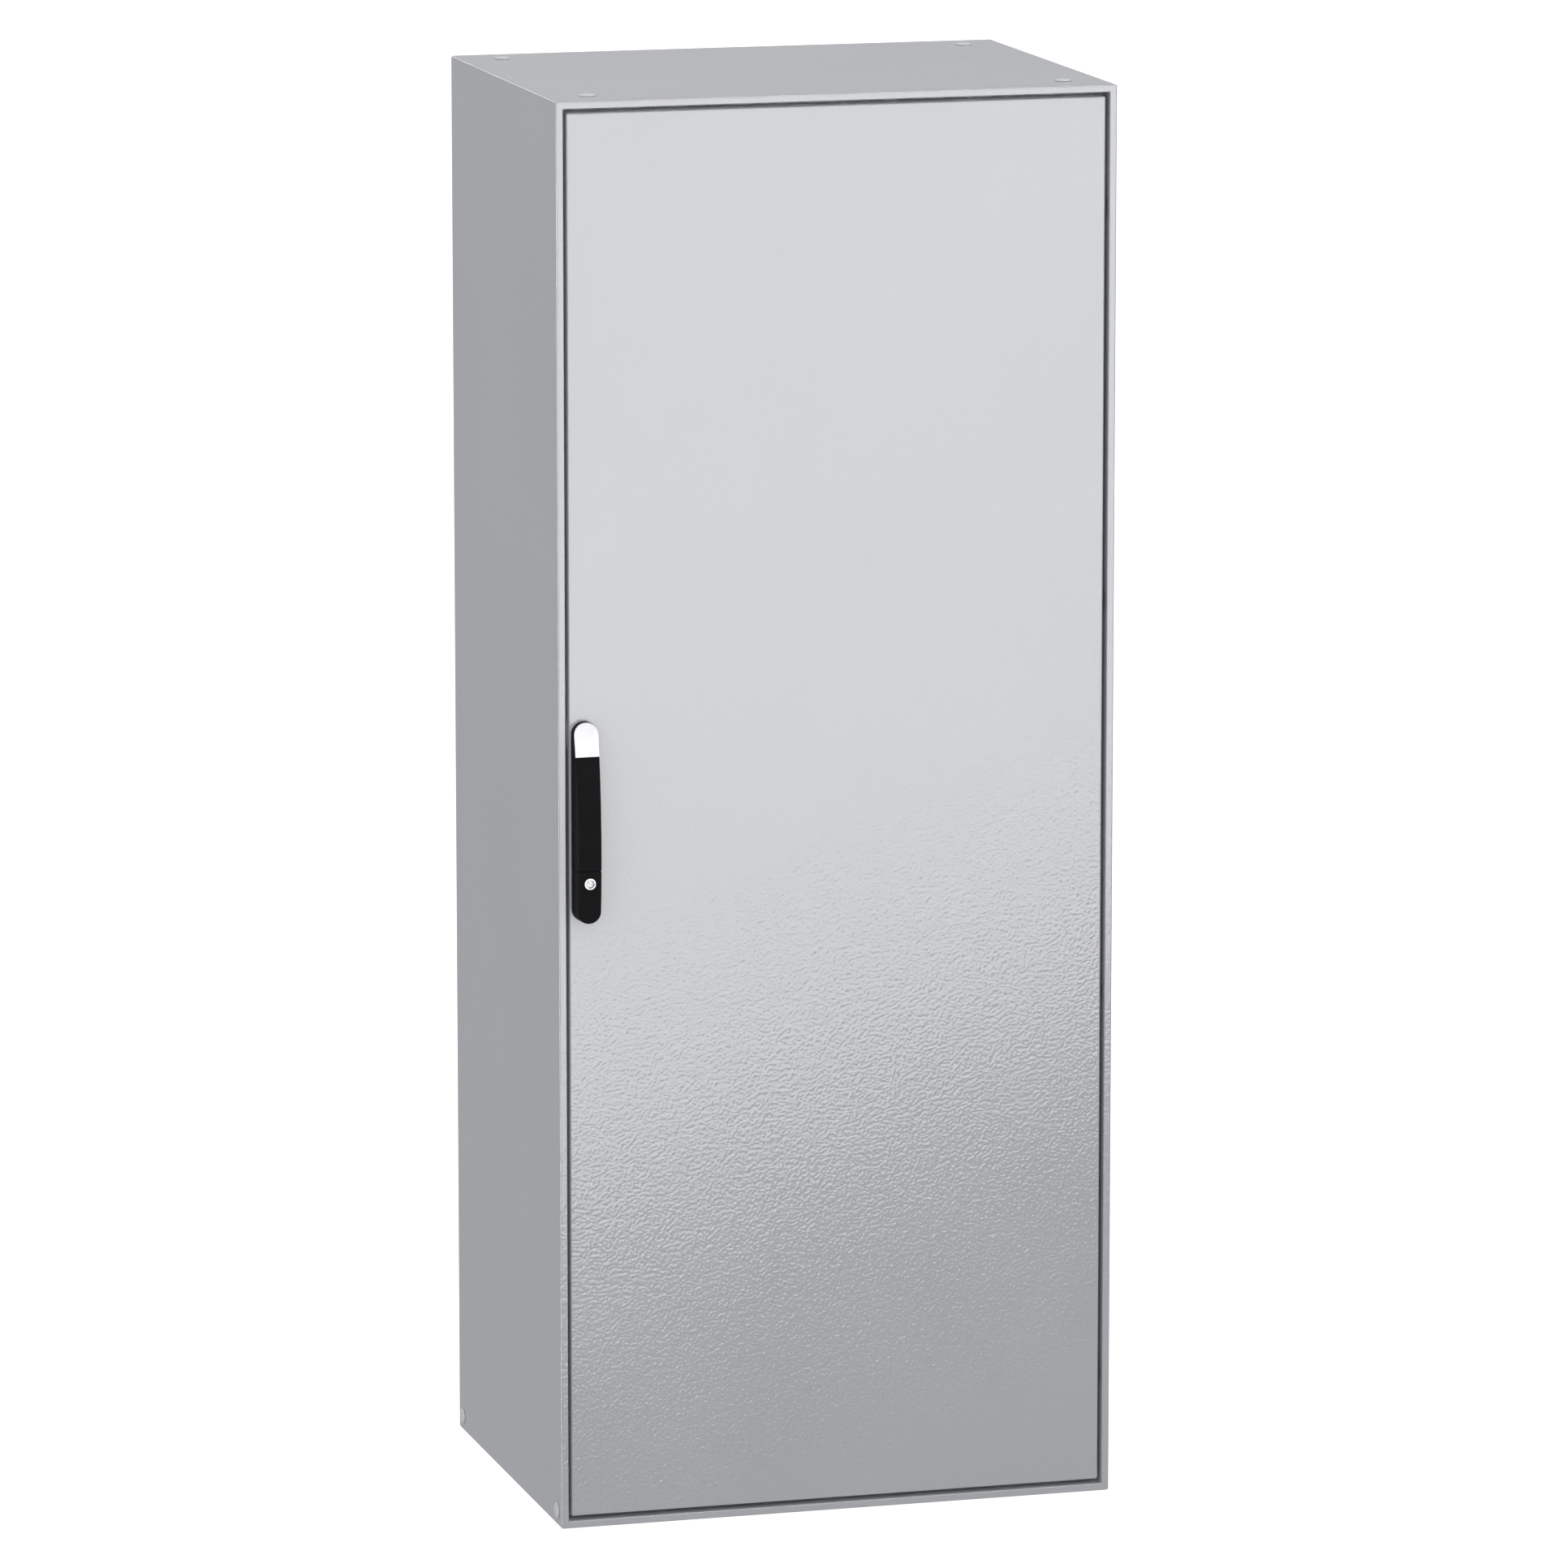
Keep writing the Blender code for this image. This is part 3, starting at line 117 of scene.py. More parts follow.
class Tree:
    """A short way to write a material's nodes."""

    def __init__(self, name):
        self.material = bpy.data.materials.new(name)
        self.material.use_nodes = True
        self.nodes = self.material.node_tree.nodes
        self.links = self.material.node_tree.links
        self.shader = self.nodes["Principled BSDF"]
        self.place = self.add("ShaderNodeTexCoord").outputs["Object"]

    def add(self, kind, **settings):
        node = self.nodes.new(kind)
        for key, value in settings.items():
            setattr(node, key, value)
        return node

    def put(self, socket, value):
        if isinstance(value, bpy.types.NodeSocket):
            self.links.new(value, socket)
        elif isinstance(value, tuple) and len(value) == 3 and socket.type == "RGBA":
            socket.default_value = (*value, 1.0)
        else:
            socket.default_value = value

    def set(self, **values):
        for key, value in values.items():
            self.put(self.shader.inputs[key.replace("_", " ")], value)

    def noise(self, scale, detail=2.0, roughness=0.5, place=None):
        node = self.add("ShaderNodeTexNoise")
        self.put(node.inputs["Vector"], place or self.place)
        self.put(node.inputs["Scale"], scale)
        self.put(node.inputs["Detail"], detail)
        self.put(node.inputs["Roughness"], roughness)
        return node.outputs["Fac"]

    def cells(self, scale, feature="F1", place=None, smooth=None):
        node = self.add("ShaderNodeTexVoronoi", feature=feature)
        self.put(node.inputs["Vector"], place or self.place)
        self.put(node.inputs["Scale"], scale)
        if smooth is not None:
            self.put(node.inputs["Smoothness"], smooth)
        return node

    def stretched(self, scale):
        """The place, scaled by a different amount along each axis."""
        node = self.add("ShaderNodeMapping")
        self.put(node.inputs["Vector"], self.place)
        self.put(node.inputs["Scale"], scale)
        return node.outputs["Vector"]

    def math(self, operation, first, second):
        node = self.add("ShaderNodeMath", operation=operation)
        self.put(node.inputs[0], first)
        self.put(node.inputs[1], second)
        return node.outputs[0]

    def shift(self, amount, scale):
        """The place, pushed about by a soft noise."""
        noise = self.add("ShaderNodeTexNoise")
        self.put(noise.inputs["Vector"], self.place)
        self.put(noise.inputs["Scale"], scale)
        centred = self.add("ShaderNodeVectorMath", operation="SUBTRACT")
        self.put(centred.inputs[0], noise.outputs["Color"])
        self.put(centred.inputs[1], (0.5, 0.5, 0.5))
        scaled = self.add("ShaderNodeVectorMath", operation="SCALE")
        self.put(scaled.inputs[0], centred.outputs[0])
        self.put(scaled.inputs["Scale"], amount)
        moved = self.add("ShaderNodeVectorMath", operation="ADD")
        self.put(moved.inputs[0], self.place)
        self.put(moved.inputs[1], scaled.outputs[0])
        return moved.outputs[0]

    def between(self, value, low, high, low_in=0.0, high_in=1.0):
        """The value, carried from the range low_in to high_in over to the range low to high."""
        node = self.add("ShaderNodeMapRange", clamp=True)
        self.put(node.inputs["Value"], value)
        self.put(node.inputs["From Min"], low_in)
        self.put(node.inputs["From Max"], high_in)
        self.put(node.inputs["To Min"], low)
        self.put(node.inputs["To Max"], high)
        return node.outputs["Result"]

    def blend(self, factor, first, second):
        """A colour between the first, at factor 0, and the second, at factor 1."""
        node = self.add("ShaderNodeMix", data_type="RGBA")
        self.put(node.inputs[0], factor)
        self.put(node.inputs[6], first)
        self.put(node.inputs[7], second)
        return node.outputs[2]

    def edge(self, radius):
        """1 on an edge or in a corner, falling to 0 within the radius."""
        bevel = self.add("ShaderNodeBevel", samples=4)
        self.put(bevel.inputs["Radius"], radius)
        surface = self.add("ShaderNodeNewGeometry").outputs["Normal"]
        dot = self.add("ShaderNodeVectorMath", operation="DOT_PRODUCT")
        self.put(dot.inputs[0], bevel.outputs["Normal"])
        self.put(dot.inputs[1], surface)
        away = self.math("SUBTRACT", 1.0, dot.outputs["Value"])
        return self.between(away, 0.0, 1.0, 0.02, 0.35)

    def bump(self, height, distance, strength=1.0, onto=None):
        node = self.add("ShaderNodeBump")
        self.put(node.inputs["Height"], height)
        self.put(node.inputs["Distance"], distance)
        self.put(node.inputs["Strength"], strength)
        if onto is not None:
            self.put(node.inputs["Normal"], onto)
        return node.outputs["Normal"]


# ---------------------------------------------------------------- materials

RIDGE_SCALE = 245.0
RIDGE_HEIGHT = 0.00022


def make_paint():
    """Textured powder coat: low wavy ridges a few millimetres long, thinner over the edges, and paler along
    edges and corners: partly the thin coat and partly a painted highlight.
    """
    t = Tree("paint")
    ridges = t.noise(RIDGE_SCALE, 0.0, 0.5, t.shift(0.0012, 90.0))
    grain = t.noise(1500.0, 2.0, 0.6)
    edge = t.edge(0.0018)
    cloud = t.noise(3.0, 3.0, 0.55)
    colour = t.blend(t.between(cloud, 0.0, 1.0, 0.35, 0.65), (0.585, 0.595, 0.618), (0.601, 0.611, 0.634))
    fleck = t.between(grain, 0.0, 0.10, 0.60, 0.75)
    colour = t.blend(fleck, colour, (0.50, 0.51, 0.53))
    # Painted highlight: the colour goes paler along edges and in corners, in place of the bright lines that
    # lights draw on rounded edges; the thinner coat there is the real part of it.
    colour = t.blend(t.math("MULTIPLY", edge, 0.45), colour, (0.76, 0.77, 0.785))
    rough = t.math("ADD", t.between(cloud, 0.125, 0.145, 0.3, 0.7), t.between(grain, 0.0, 0.04, 0.4, 0.7))
    height = t.math("MULTIPLY", ridges, t.between(edge, 1.0, 0.35))
    normal = t.bump(height, RIDGE_HEIGHT, 1.0, t.bump(grain, 0.00001, 0.6))
    t.set(Base_Color=colour, Roughness=rough, Normal=normal)
    return t.material


def make_galvanised():
    """Zinc-coated sheet: a fine spangle with faint rolling marks."""
    t = Tree("galvanised")
    spangle = t.cells(95.0, "F1", t.shift(0.004, 60.0))
    shade = t.between(spangle.outputs["Color"], 0.0, 1.0)
    rolled = t.noise(260.0, 3.0, 0.6, t.stretched((1.0, 1.0, 0.03)))
    patch = t.noise(7.0, 4.0, 0.6)
    tone = t.math("ADD", t.math("MULTIPLY", shade, 0.35), t.math("MULTIPLY", patch, 0.65))
    colour = t.blend(t.between(tone, 0.0, 1.0, 0.3, 0.7), (0.46, 0.48, 0.50), (0.62, 0.64, 0.65))
    edge = t.edge(0.0012)
    # Painted highlight: a paler colour along edges and in corners.
    colour = t.blend(t.math("MULTIPLY", edge, 0.4), colour, (0.70, 0.71, 0.72))
    rough = t.math("ADD", t.between(shade, 0.34, 0.46), t.between(rolled, -0.05, 0.08, 0.3, 0.7))
    normal = t.bump(rolled, 0.00003, 0.5, t.bump(shade, 0.00004, 0.35))
    t.set(Base_Color=colour, Roughness=rough, Metallic=0.85, Normal=normal)
    return t.material


def make_zinc():
    """Bright zinc plating, a little yellow and blue in turns, with a painted highlight: a brighter colour
    along its edges.
    """
    t = Tree("zinc")
    patch = t.noise(55.0, 3.0, 0.6)
    fine = t.noise(900.0, 3.0, 0.6)
    colour = t.blend(t.between(patch, 0.0, 1.0, 0.35, 0.65), (0.60, 0.61, 0.62), (0.68, 0.66, 0.60))
    edge = t.edge(0.0006)
    # Painted highlight: a brighter colour along edges and in corners.
    colour = t.blend(t.math("MULTIPLY", edge, 0.5), colour, (0.80, 0.80, 0.79))
    rough = t.math("ADD", t.between(patch, 0.26, 0.38, 0.3, 0.7), t.between(fine, -0.03, 0.05, 0.3, 0.7))
    t.set(Base_Color=colour, Roughness=rough, Metallic=1.0, Normal=t.bump(fine, 0.00002, 0.5))
    return t.material


def make_chrome():
    """Polished plating with hairlines round the turned faces."""
    t = Tree("chrome")
    haze = t.noise(160.0, 3.0, 0.6)
    hair = t.noise(2600.0, 2.0, 0.5, t.stretched((1.0, 0.12, 1.0)))
    rough = t.math("ADD", t.between(haze, 0.06, 0.13, 0.3, 0.7), t.between(hair, 0.0, 0.05, 0.4, 0.7))
    colour = t.blend(t.between(haze, 0.0, 1.0, 0.3, 0.7), (0.86, 0.87, 0.89), (0.93, 0.93, 0.94))
    t.set(Base_Color=colour, Roughness=rough, Metallic=1.0, Normal=t.bump(hair, 0.000004, 0.4))
    return t.material


def make_brass():
    """Plain turned brass, dulled in patches."""
    t = Tree("brass")
    dull = t.noise(120.0, 4.0, 0.6)
    turned = t.noise(1800.0, 2.0, 0.5)
    colour = t.blend(t.between(dull, 0.0, 1.0, 0.35, 0.7), (0.76, 0.58, 0.28), (0.55, 0.40, 0.17))
    rough = t.between(dull, 0.22, 0.42, 0.3, 0.7)
    t.set(Base_Color=colour, Roughness=rough, Metallic=1.0, Normal=t.bump(turned, 0.00001, 0.5))
    return t.material


def make_black_plastic():
    """Glass-filled black polyamide with a fine eroded grain, polished along its edges by hands, and with a
    painted highlight there: a paler colour along its edges.
    """
    t = Tree("black_plastic")
    grain = t.noise(2200.0, 3.0, 0.65)
    pits = t.cells(1500.0, "F1").outputs["Distance"]
    patch = t.noise(35.0, 3.0, 0.5)
    edge = t.edge(0.0010)
    shade = t.between(patch, 0.0, 1.0, 0.35, 0.65)
    colour = t.blend(shade, (0.0085, 0.0085, 0.0092), (0.0115, 0.0115, 0.0125))
    # Painted highlight: a paler colour along edges and in corners; the lower roughness along them is the real
    # polish.
    colour = t.blend(t.math("MULTIPLY", edge, 0.45), colour, (0.020, 0.020, 0.021))
    rough = t.math("ADD", t.between(patch, 0.50, 0.58, 0.3, 0.7), t.between(grain, -0.03, 0.05, 0.3, 0.7))
    rough = t.math("SUBTRACT", rough, t.math("MULTIPLY", edge, 0.08))
    height = t.math("ADD", grain, t.math("MULTIPLY", pits, 0.5))
    t.set(Base_Color=colour, Roughness=rough, Normal=t.bump(height, 0.00003, 0.5))
    t.shader.inputs["Specular IOR Level"].default_value = 0.16
    return t.material


def make_white_plastic():
    """Smooth white moulding, slightly uneven as moulded sheet is."""
    t = Tree("white_plastic")
    wave = t.noise(70.0, 2.0, 0.5)
    dust = t.noise(1400.0, 3.0, 0.6)
    colour = t.blend(t.between(dust, 0.0, 0.5, 0.55, 0.8), (0.93, 0.93, 0.93), (0.87, 0.87, 0.87))
    rough = t.math("ADD", t.between(wave, 0.20, 0.27, 0.3, 0.7), t.between(dust, 0.0, 0.04, 0.4, 0.7))
    t.set(Base_Color=colour, Roughness=rough, Normal=t.bump(wave, 0.00004, 0.4))
    t.shader.inputs["Coat Weight"].default_value = 0.8
    t.shader.inputs["Coat Roughness"].default_value = 0.12
    return t.material


def make_plug_plastic():
    """Light grey polyethylene, waxy and a little mottled."""
    t = Tree("plug_plastic")
    mottle = t.noise(240.0, 4.0, 0.6)
    fine = t.noise(1900.0, 2.0, 0.6)
    colour = t.blend(t.between(mottle, 0.0, 1.0, 0.3, 0.7), (0.80, 0.81, 0.825), (0.86, 0.87, 0.88))
    rough = t.between(mottle, 0.36, 0.48, 0.3, 0.7)
    t.set(Base_Color=colour, Roughness=rough, Normal=t.bump(fine, 0.00003, 0.4))
    return t.material


def make_foam():
    """Poured polyurethane with a closed skin and scattered open cells."""
    t = Tree("foam")
    cells = t.cells(750.0, "SMOOTH_F1", smooth=0.4).outputs["Distance"]
    skin = t.noise(130.0, 4.0, 0.6)
    colour = t.blend(t.between(skin, 0.0, 1.0, 0.3, 0.7), (0.028, 0.028, 0.029), (0.055, 0.055, 0.056))
    rough = t.between(cells, 0.75, 0.95)
    height = t.math("ADD", t.math("MULTIPLY", cells, 0.7), skin)
    t.set(Base_Color=colour, Roughness=rough, Normal=t.bump(height, 0.0003, 0.6))
    return t.material


MATERIALS = {
    "paint": make_paint(),
    "galvanised": make_galvanised(),
    "zinc": make_zinc(),
    "chrome": make_chrome(),
    "brass": make_brass(),
    "black_plastic": make_black_plastic(),
    "white_plastic": make_white_plastic(),
    "plug_plastic": make_plug_plastic(),
    "foam": make_foam(),
}


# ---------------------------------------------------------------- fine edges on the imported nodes

def geometry_group(name):
    """An empty group of geometry nodes, its input and output, and the angle of each edge."""
    group = bpy.data.node_groups.new(name, "GeometryNodeTree")
    group.interface.new_socket("Geometry", in_out="INPUT", socket_type="NodeSocketGeometry")
    group.interface.new_socket("Geometry", in_out="OUTPUT", socket_type="NodeSocketGeometry")
    into, out = group.nodes.new("NodeGroupInput"), group.nodes.new("NodeGroupOutput")
    angle = group.nodes.new("GeometryNodeInputMeshEdgeAngle")
    return group, into, out, angle


WELD_REACH = 0.00001
FLAT_ANGLE = math.radians(0.6)
CORNER_ANGLE = math.radians(30)
CORNER_MARK = "outer_corner"
SHADE_ANGLE = math.radians(38)


def make_corner_group():
    """Marks the edges to be rounded: those that stick out and are longer than the given length."""
    group, into, out, angle = geometry_group("outer_corners")
    group.interface.new_socket("Shortest", in_out="INPUT", socket_type="NodeSocketFloat")
    outer = group.nodes.new("FunctionNodeCompare")
    outer.operation = "GREATER_THAN"
    outer.inputs["B"].default_value = CORNER_ANGLE
    ends = group.nodes.new("GeometryNodeInputMeshEdgeVertices")
    length = group.nodes.new("ShaderNodeVectorMath")
    length.operation = "DISTANCE"
    longer = group.nodes.new("FunctionNodeCompare")
    longer.operation = "GREATER_THAN"
    both = group.nodes.new("FunctionNodeBooleanMath")
    both.operation = "AND"
    group.links.new(ends.outputs["Position 1"], length.inputs[0])
    group.links.new(ends.outputs["Position 2"], length.inputs[1])
    group.links.new(length.outputs["Value"], longer.inputs["A"])
    group.links.new(into.outputs["Shortest"], longer.inputs["B"])
    group.links.new(outer.outputs[0], both.inputs[0])
    group.links.new(longer.outputs[0], both.inputs[1])
    mark = group.nodes.new("GeometryNodeStoreNamedAttribute")
    mark.data_type = "FLOAT"
    mark.domain = "EDGE"
    mark.inputs["Name"].default_value = CORNER_MARK
    group.links.new(into.outputs[0], mark.inputs["Geometry"])
    group.links.new(angle.outputs["Signed Angle"], outer.inputs["A"])
    group.links.new(both.outputs[0], mark.inputs["Value"])
    group.links.new(mark.outputs[0], out.inputs[0])
    return group


def make_shading_group():
    """Geometry nodes that shade smooth, except over edges sharper than the given angle."""
    group, into, out, angle = geometry_group("shade_by_angle")
    soft = group.nodes.new("FunctionNodeCompare")
    soft.operation = "LESS_THAN"
    soft.inputs["B"].default_value = SHADE_ANGLE
    faces = group.nodes.new("GeometryNodeSetShadeSmooth")
    edges = group.nodes.new("GeometryNodeSetShadeSmooth")
    edges.domain = "EDGE"
    group.links.new(into.outputs[0], faces.inputs["Geometry"])
    group.links.new(faces.outputs[0], edges.inputs["Geometry"])
    group.links.new(angle.outputs["Unsigned Angle"], soft.inputs["A"])
    group.links.new(soft.outputs[0], edges.inputs["Shade Smooth"])
    group.links.new(edges.outputs[0], out.inputs[0])
    return group


CORNERS = make_corner_group()
SHORTEST_INPUT = CORNERS.interface.items_tree["Shortest"].identifier
SHADING = make_shading_group()


def add_shading(obj):
    """Smooth shading over the gentle edges, with the flat faces kept flat to their borders."""
    shade = obj.modifiers.new("shade", "NODES")
    shade.node_group = SHADING
    normals = obj.modifiers.new("normals", "WEIGHTED_NORMAL")
    normals.keep_sharp = True
    normals.weight = 60


def soften(obj, width, shortest):
    """Joins the imported triangles into whole faces, and rounds the outer edges longer than `shortest`."""
    weld = obj.modifiers.new("weld", "WELD")
    weld.merge_threshold = WELD_REACH
    flat = obj.modifiers.new("flat", "DECIMATE")
    flat.decimate_type = "DISSOLVE"
    flat.angle_limit = FLAT_ANGLE
    corners = obj.modifiers.new("corners", "NODES")
    corners.node_group = CORNERS
    corners[SHORTEST_INPUT] = shortest
    bevel = obj.modifiers.new("bevel", "BEVEL")
    bevel.width = width
    bevel.segments = 2
    bevel.limit_method = "WEIGHT"
    bevel.edge_weight = CORNER_MARK
    add_shading(obj)


EDGE_WIDTHS = {
    "body_shell": 0.0003,
    "door_panel": 0.0003,
    "rear_panel": 0.0004,
    "handle_base": 0.0005,
    "handle_lever": 0.0005,
    "handle_hub": 0.0005,
    "handle_cap": 0.0004,
    "mounting_plate": 0.0005,
    "door_gasket": 0.0012,
    "rear_seal": 0.0008,
    "lock_pinion": 0.00008,
    "upper_rod": 0.00012,
    "lower_rod": 0.00012,
}
USUAL_EDGE = 0.0003
# The door's hinge notches run too close to its corner for their short edges to be rounded.
SHORTEST_EDGES = {"door_panel": 0.030}


def finish_nodes():
    """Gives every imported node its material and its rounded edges."""
    for name, obj in NODES.items():
        slot = SLOT_OF[name]
        for place in obj.material_slots:
            place.material = MATERIALS[slot]
        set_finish(obj, slot)
        soften(obj, EDGE_WIDTHS.get(name, USUAL_EDGE), SHORTEST_EDGES.get(name, 0.0))


# ---------------------------------------------------------------- turned and six-sided pieces

# An outline is a function that gives the distance from the axis at an angle round it.

def circle(radius):
    return lambda angle: radius


def hexagon(half_flats, corner=1.0):
    """A hexagon whose corners are cut to a circle: corner 1 keeps them sharp, 0 rounds it off whole."""
    limit = half_flats * (1 + corner * (2 / math.sqrt(3) - 1))
    return lambda angle: min(limit, half_flats / math.cos(angle % (math.pi / 3) - math.pi / 6))


def lobes(radius, depth=0.13):
    """The outline of a six-lobed driver's socket."""
    return lambda angle: radius * (1 + depth * math.cos(6 * angle))


TINY = 1e-6


def slab(half_long, half_wide):
    """A rectangle about the axis."""
    def radius(angle):
        along, across = abs(math.cos(angle)), abs(math.sin(angle))
        return min(half_long / max(along, TINY), half_wide / max(across, TINY))
    return radius


def notched(radius, extra=0.0008, half_angle=0.23):
    """A circle with a keyway cut at angle 0."""
    return lambda angle: radius + (extra if math.cos(angle) > math.cos(half_angle) else 0.0)


class Group:
    """Closed solids, each a stack of outlines along an axis, gathered into one piece."""

    def __init__(self, steps=24):
        self.bm = bmesh.new()
        self.steps = steps

    def stack(self, levels, centre, axis):
        """Each level is (outline, height), from the base up. A later level may go down, into a recess."""
        turn = Vector((0, 0, 1)).rotation_difference(Vector(axis)).to_matrix()
        angles = [math.tau * i / self.steps for i in range(self.steps)]
        rings = []
        for outline, height in levels:
            points = [(outline(a) * math.cos(a), outline(a) * math.sin(a), height) for a in angles]
            rings.append([self.bm.verts.new(Vector(centre) + turn @ Vector(point)) for point in points])
        for low, high in zip(rings, rings[1:]):
            for i in range(self.steps):
                j = (i + 1) % self.steps
                self.bm.faces.new((low[i], low[j], high[j], high[i]))
        self.bm.faces.new(rings[0][::-1])
        self.bm.faces.new(rings[-1])

    def turned(self, profile, centre, axis):
        """A turned solid from (radius, height) pairs."""
        self.stack([(circle(radius), height) for radius, height in profile], centre, axis)

    def finish(self, name, slot, body, replaces=()):
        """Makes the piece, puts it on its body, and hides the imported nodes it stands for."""
        mesh = bpy.data.meshes.new(name)
        self.bm.to_mesh(mesh)
        self.bm.free()
        mesh.materials.append(MATERIALS[slot])
        piece = bpy.data.objects.new(name, mesh)
        bpy.context.scene.collection.objects.link(piece)
        add_shading(piece)
        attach(piece, body)
        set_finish(piece, slot)
        if replaces:
            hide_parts(*replaces)


def washer(group, centre, axis, radius, thickness):
    """A flat washer with softened rims, its hole hidden under a head."""
    soft = 0.2 * thickness
    group.turned(
        [(radius - soft, 0.0), (radius, soft), (radius, thickness - soft), (radius - soft, thickness)],
        centre, axis,
    )


def hex_head(group, centre, axis, half_flats, height):
    """A bolt's head, with its corners turned off and a shallow dish on top."""
    rim = 0.16 * height
    group.stack([
        (hexagon(half_flats, 0.2), 0.0),
        (hexagon(half_flats), rim),
        (hexagon(half_flats), height - rim),
        (hexagon(half_flats, 0.15), height),
        (circle(0.80 * half_flats), height),
        (circle(0.72 * half_flats), height - 0.4 * rim),
    ], centre, axis)


THREAD_PITCH = 0.0009


def threaded_end(group, centre, axis, radius, length):
    """A stud's end: a ridge for each turn of its thread, and a chamfered tip."""
    pitch = THREAD_PITCH
    profile = [(0.92 * radius, 0.0)]
    turns = int((length - pitch) / pitch)
    for i in range(turns):
        profile += [(radius, (i + 0.35) * pitch), (0.90 * radius, (i + 0.95) * pitch)]
    profile += [(0.90 * radius, length - 0.6 * pitch), (0.72 * radius, length)]
    group.turned(profile, centre, axis)


def hex_nut(group, centre, axis, half_flats, height, thread_radius, proud):
    """A nut on its flange, with the end of its stud coming out."""
    flange = 0.18 * height
    rim = 0.10 * height
    mouth = 1.12 * thread_radius
    group.stack([
        (circle(1.42 * half_flats), 0.0),
        (circle(1.45 * half_flats), 0.4 * flange),
        (circle(1.20 * half_flats), flange),
        (hexagon(half_flats), flange),
        (hexagon(half_flats), height - rim),
        (hexagon(half_flats, 0.15), height),
        (circle(mouth), height),
        (circle(0.98 * thread_radius), height - rim),
    ], centre, axis)
    root = Vector(centre) + Vector(axis) * height * 0.6
    threaded_end(group, root, axis, thread_radius, proud + 0.4 * height)


def pan_screw(group, centre, axis, radius, height):
    """A low round head with a six-lobed socket."""
    socket = 0.46 * radius
    group.stack([
        (circle(0.96 * radius), 0.0),
        (circle(radius), 0.18 * height),
        (circle(0.97 * radius), 0.50 * height),
        (circle(0.86 * radius), 0.80 * height),
        (circle(0.68 * radius), 0.97 * height),
        (circle(0.58 * radius), height),
        (lobes(1.06 * socket), height),
        (lobes(socket), 0.94 * height),
        (lobes(socket), 0.38 * height),
        (circle(0.3 * socket), 0.28 * height),
    ], centre, axis)


# ---------------------------------------------------------------- fasteners on the cabinet

# Sizes of the fasteners: a washer's radius and thickness; a round head's radius and height; a hexagon
# head's half width across flats and height; a nut's half width, height, thread radius and how far its stud
# stands proud.

INWARD = Vector((0, 1, 0))
OUTWARD = Vector((0, -1, 0))
UP = Vector((0, 0, 1))


def spread(low, high, count):
    """Evenly spaced places from low to high."""
    return [low + (high - low) * i / (count - 1) for i in range(count)]


REAR_SCREW_IN_FROM_SEAL = 0.0165
REAR_WASHER = (0.0052, 0.0008)
REAR_SCREW = (0.0044, 0.0027)


def add_rear_panel_screws():
    """Round the rear panel, inside its seal."""
    low, high, _ = span("rear_panel")
    edge = span("rear_seal")[1].x - high.x - REAR_SCREW_IN_FROM_SEAL
    left, right = low.x - edge, high.x + edge
    bottom, top = low.z - edge, high.z + edge
    places = [(x, z) for x in (left, right) for z in spread(bottom, top, 8)]
    places += [(x, z) for x in spread(left, right, 5)[1:-1] for z in (bottom, top)]
    group = Group()
    for x, z in places:
        washer(group, (x, high.y, z), INWARD, *REAR_WASHER)
        pan_screw(group, (x, high.y + REAR_WASHER[1], z), INWARD, *REAR_SCREW)
    group.finish("rear_panel_screws", "zinc", "cabinet")


GLAND_SHEET = 0.002
GLAND_SCREW_INSET = 0.0070
GLAND_SCREW_REACH = 0.058
GLAND_WASHER = (0.0056, 0.0009)
GLAND_SCREW = (0.0040, 0.0034)


def add_gland_screws():
    """Four to a gland plate, where it overlaps the floor frame."""
    group = Group()
    for place in ("front", "middle", "rear"):
        low, high, middle = span(f"gland_plate_{place}")
        for x in (low.x + GLAND_SCREW_INSET, high.x - GLAND_SCREW_INSET):
            for y in (middle.y - GLAND_SCREW_REACH, middle.y + GLAND_SCREW_REACH):
                sheet_top = low.z + GLAND_SHEET
                washer(group, (x, y, sheet_top), UP, *GLAND_WASHER)
                hex_head(group, (x, y, sheet_top + GLAND_WASHER[1]), UP, *GLAND_SCREW)
    group.finish("gland_plate_screws", "zinc", "cabinet")


PLATE_STRAP = 0.003
RAIL_SHEET = 0.0015
PLATE_NUT = (0.0065, 0.0078, 0.004, 0.005)
PLATE_NUT_IN = 0.020
FOOT_NUT_DOWN = 0.026
HANGER_WASHER = (0.0080, 0.0014)
HANGER_BOLT = (0.0050, 0.0040)
HANGER_BOLT_FORWARD = 0.0105
FOOT_WASHER = (0.0088, 0.0016)
FOOT_BOLT = (0.0065, 0.0053)
FOOT_BOLT_IN = 0.021
FOOT_BOLT_BACK = 0.001
RAIL_WASHER = (0.0065, 0.0010)
RAIL_BOLT = (0.0050, 0.0036)
RAIL_END = 0.030


def add_plate_nuts(side, word, group):
    """On the mounting plate's face, over its hanger and its foot."""
    face = span("mounting_plate")[0].y
    for support in ("hanger", "foot"):
        low, high, middle = span(f"plate_{support}_{word}")
        x = side * (min(abs(low.x), abs(high.x)) + PLATE_NUT_IN)
        z = middle.z if support == "hanger" else high.z - FOOT_NUT_DOWN
        hex_nut(group, (x, face, z), OUTWARD, *PLATE_NUT)


def add_hanger_bolt(side, word, group):
    """Through the hanger into the cabinet's side."""
    low, high, middle = span(f"plate_hanger_{word}")
    face = max(abs(low.x), abs(high.x)) - PLATE_STRAP
    y = high.y - HANGER_BOLT_FORWARD
    inwards = Vector((-side, 0, 0))
    washer(group, (side * face, y, middle.z), inwards, *HANGER_WASHER)
    hex_head(group, (side * (face - HANGER_WASHER[1]), y, middle.z), inwards, *HANGER_BOLT)


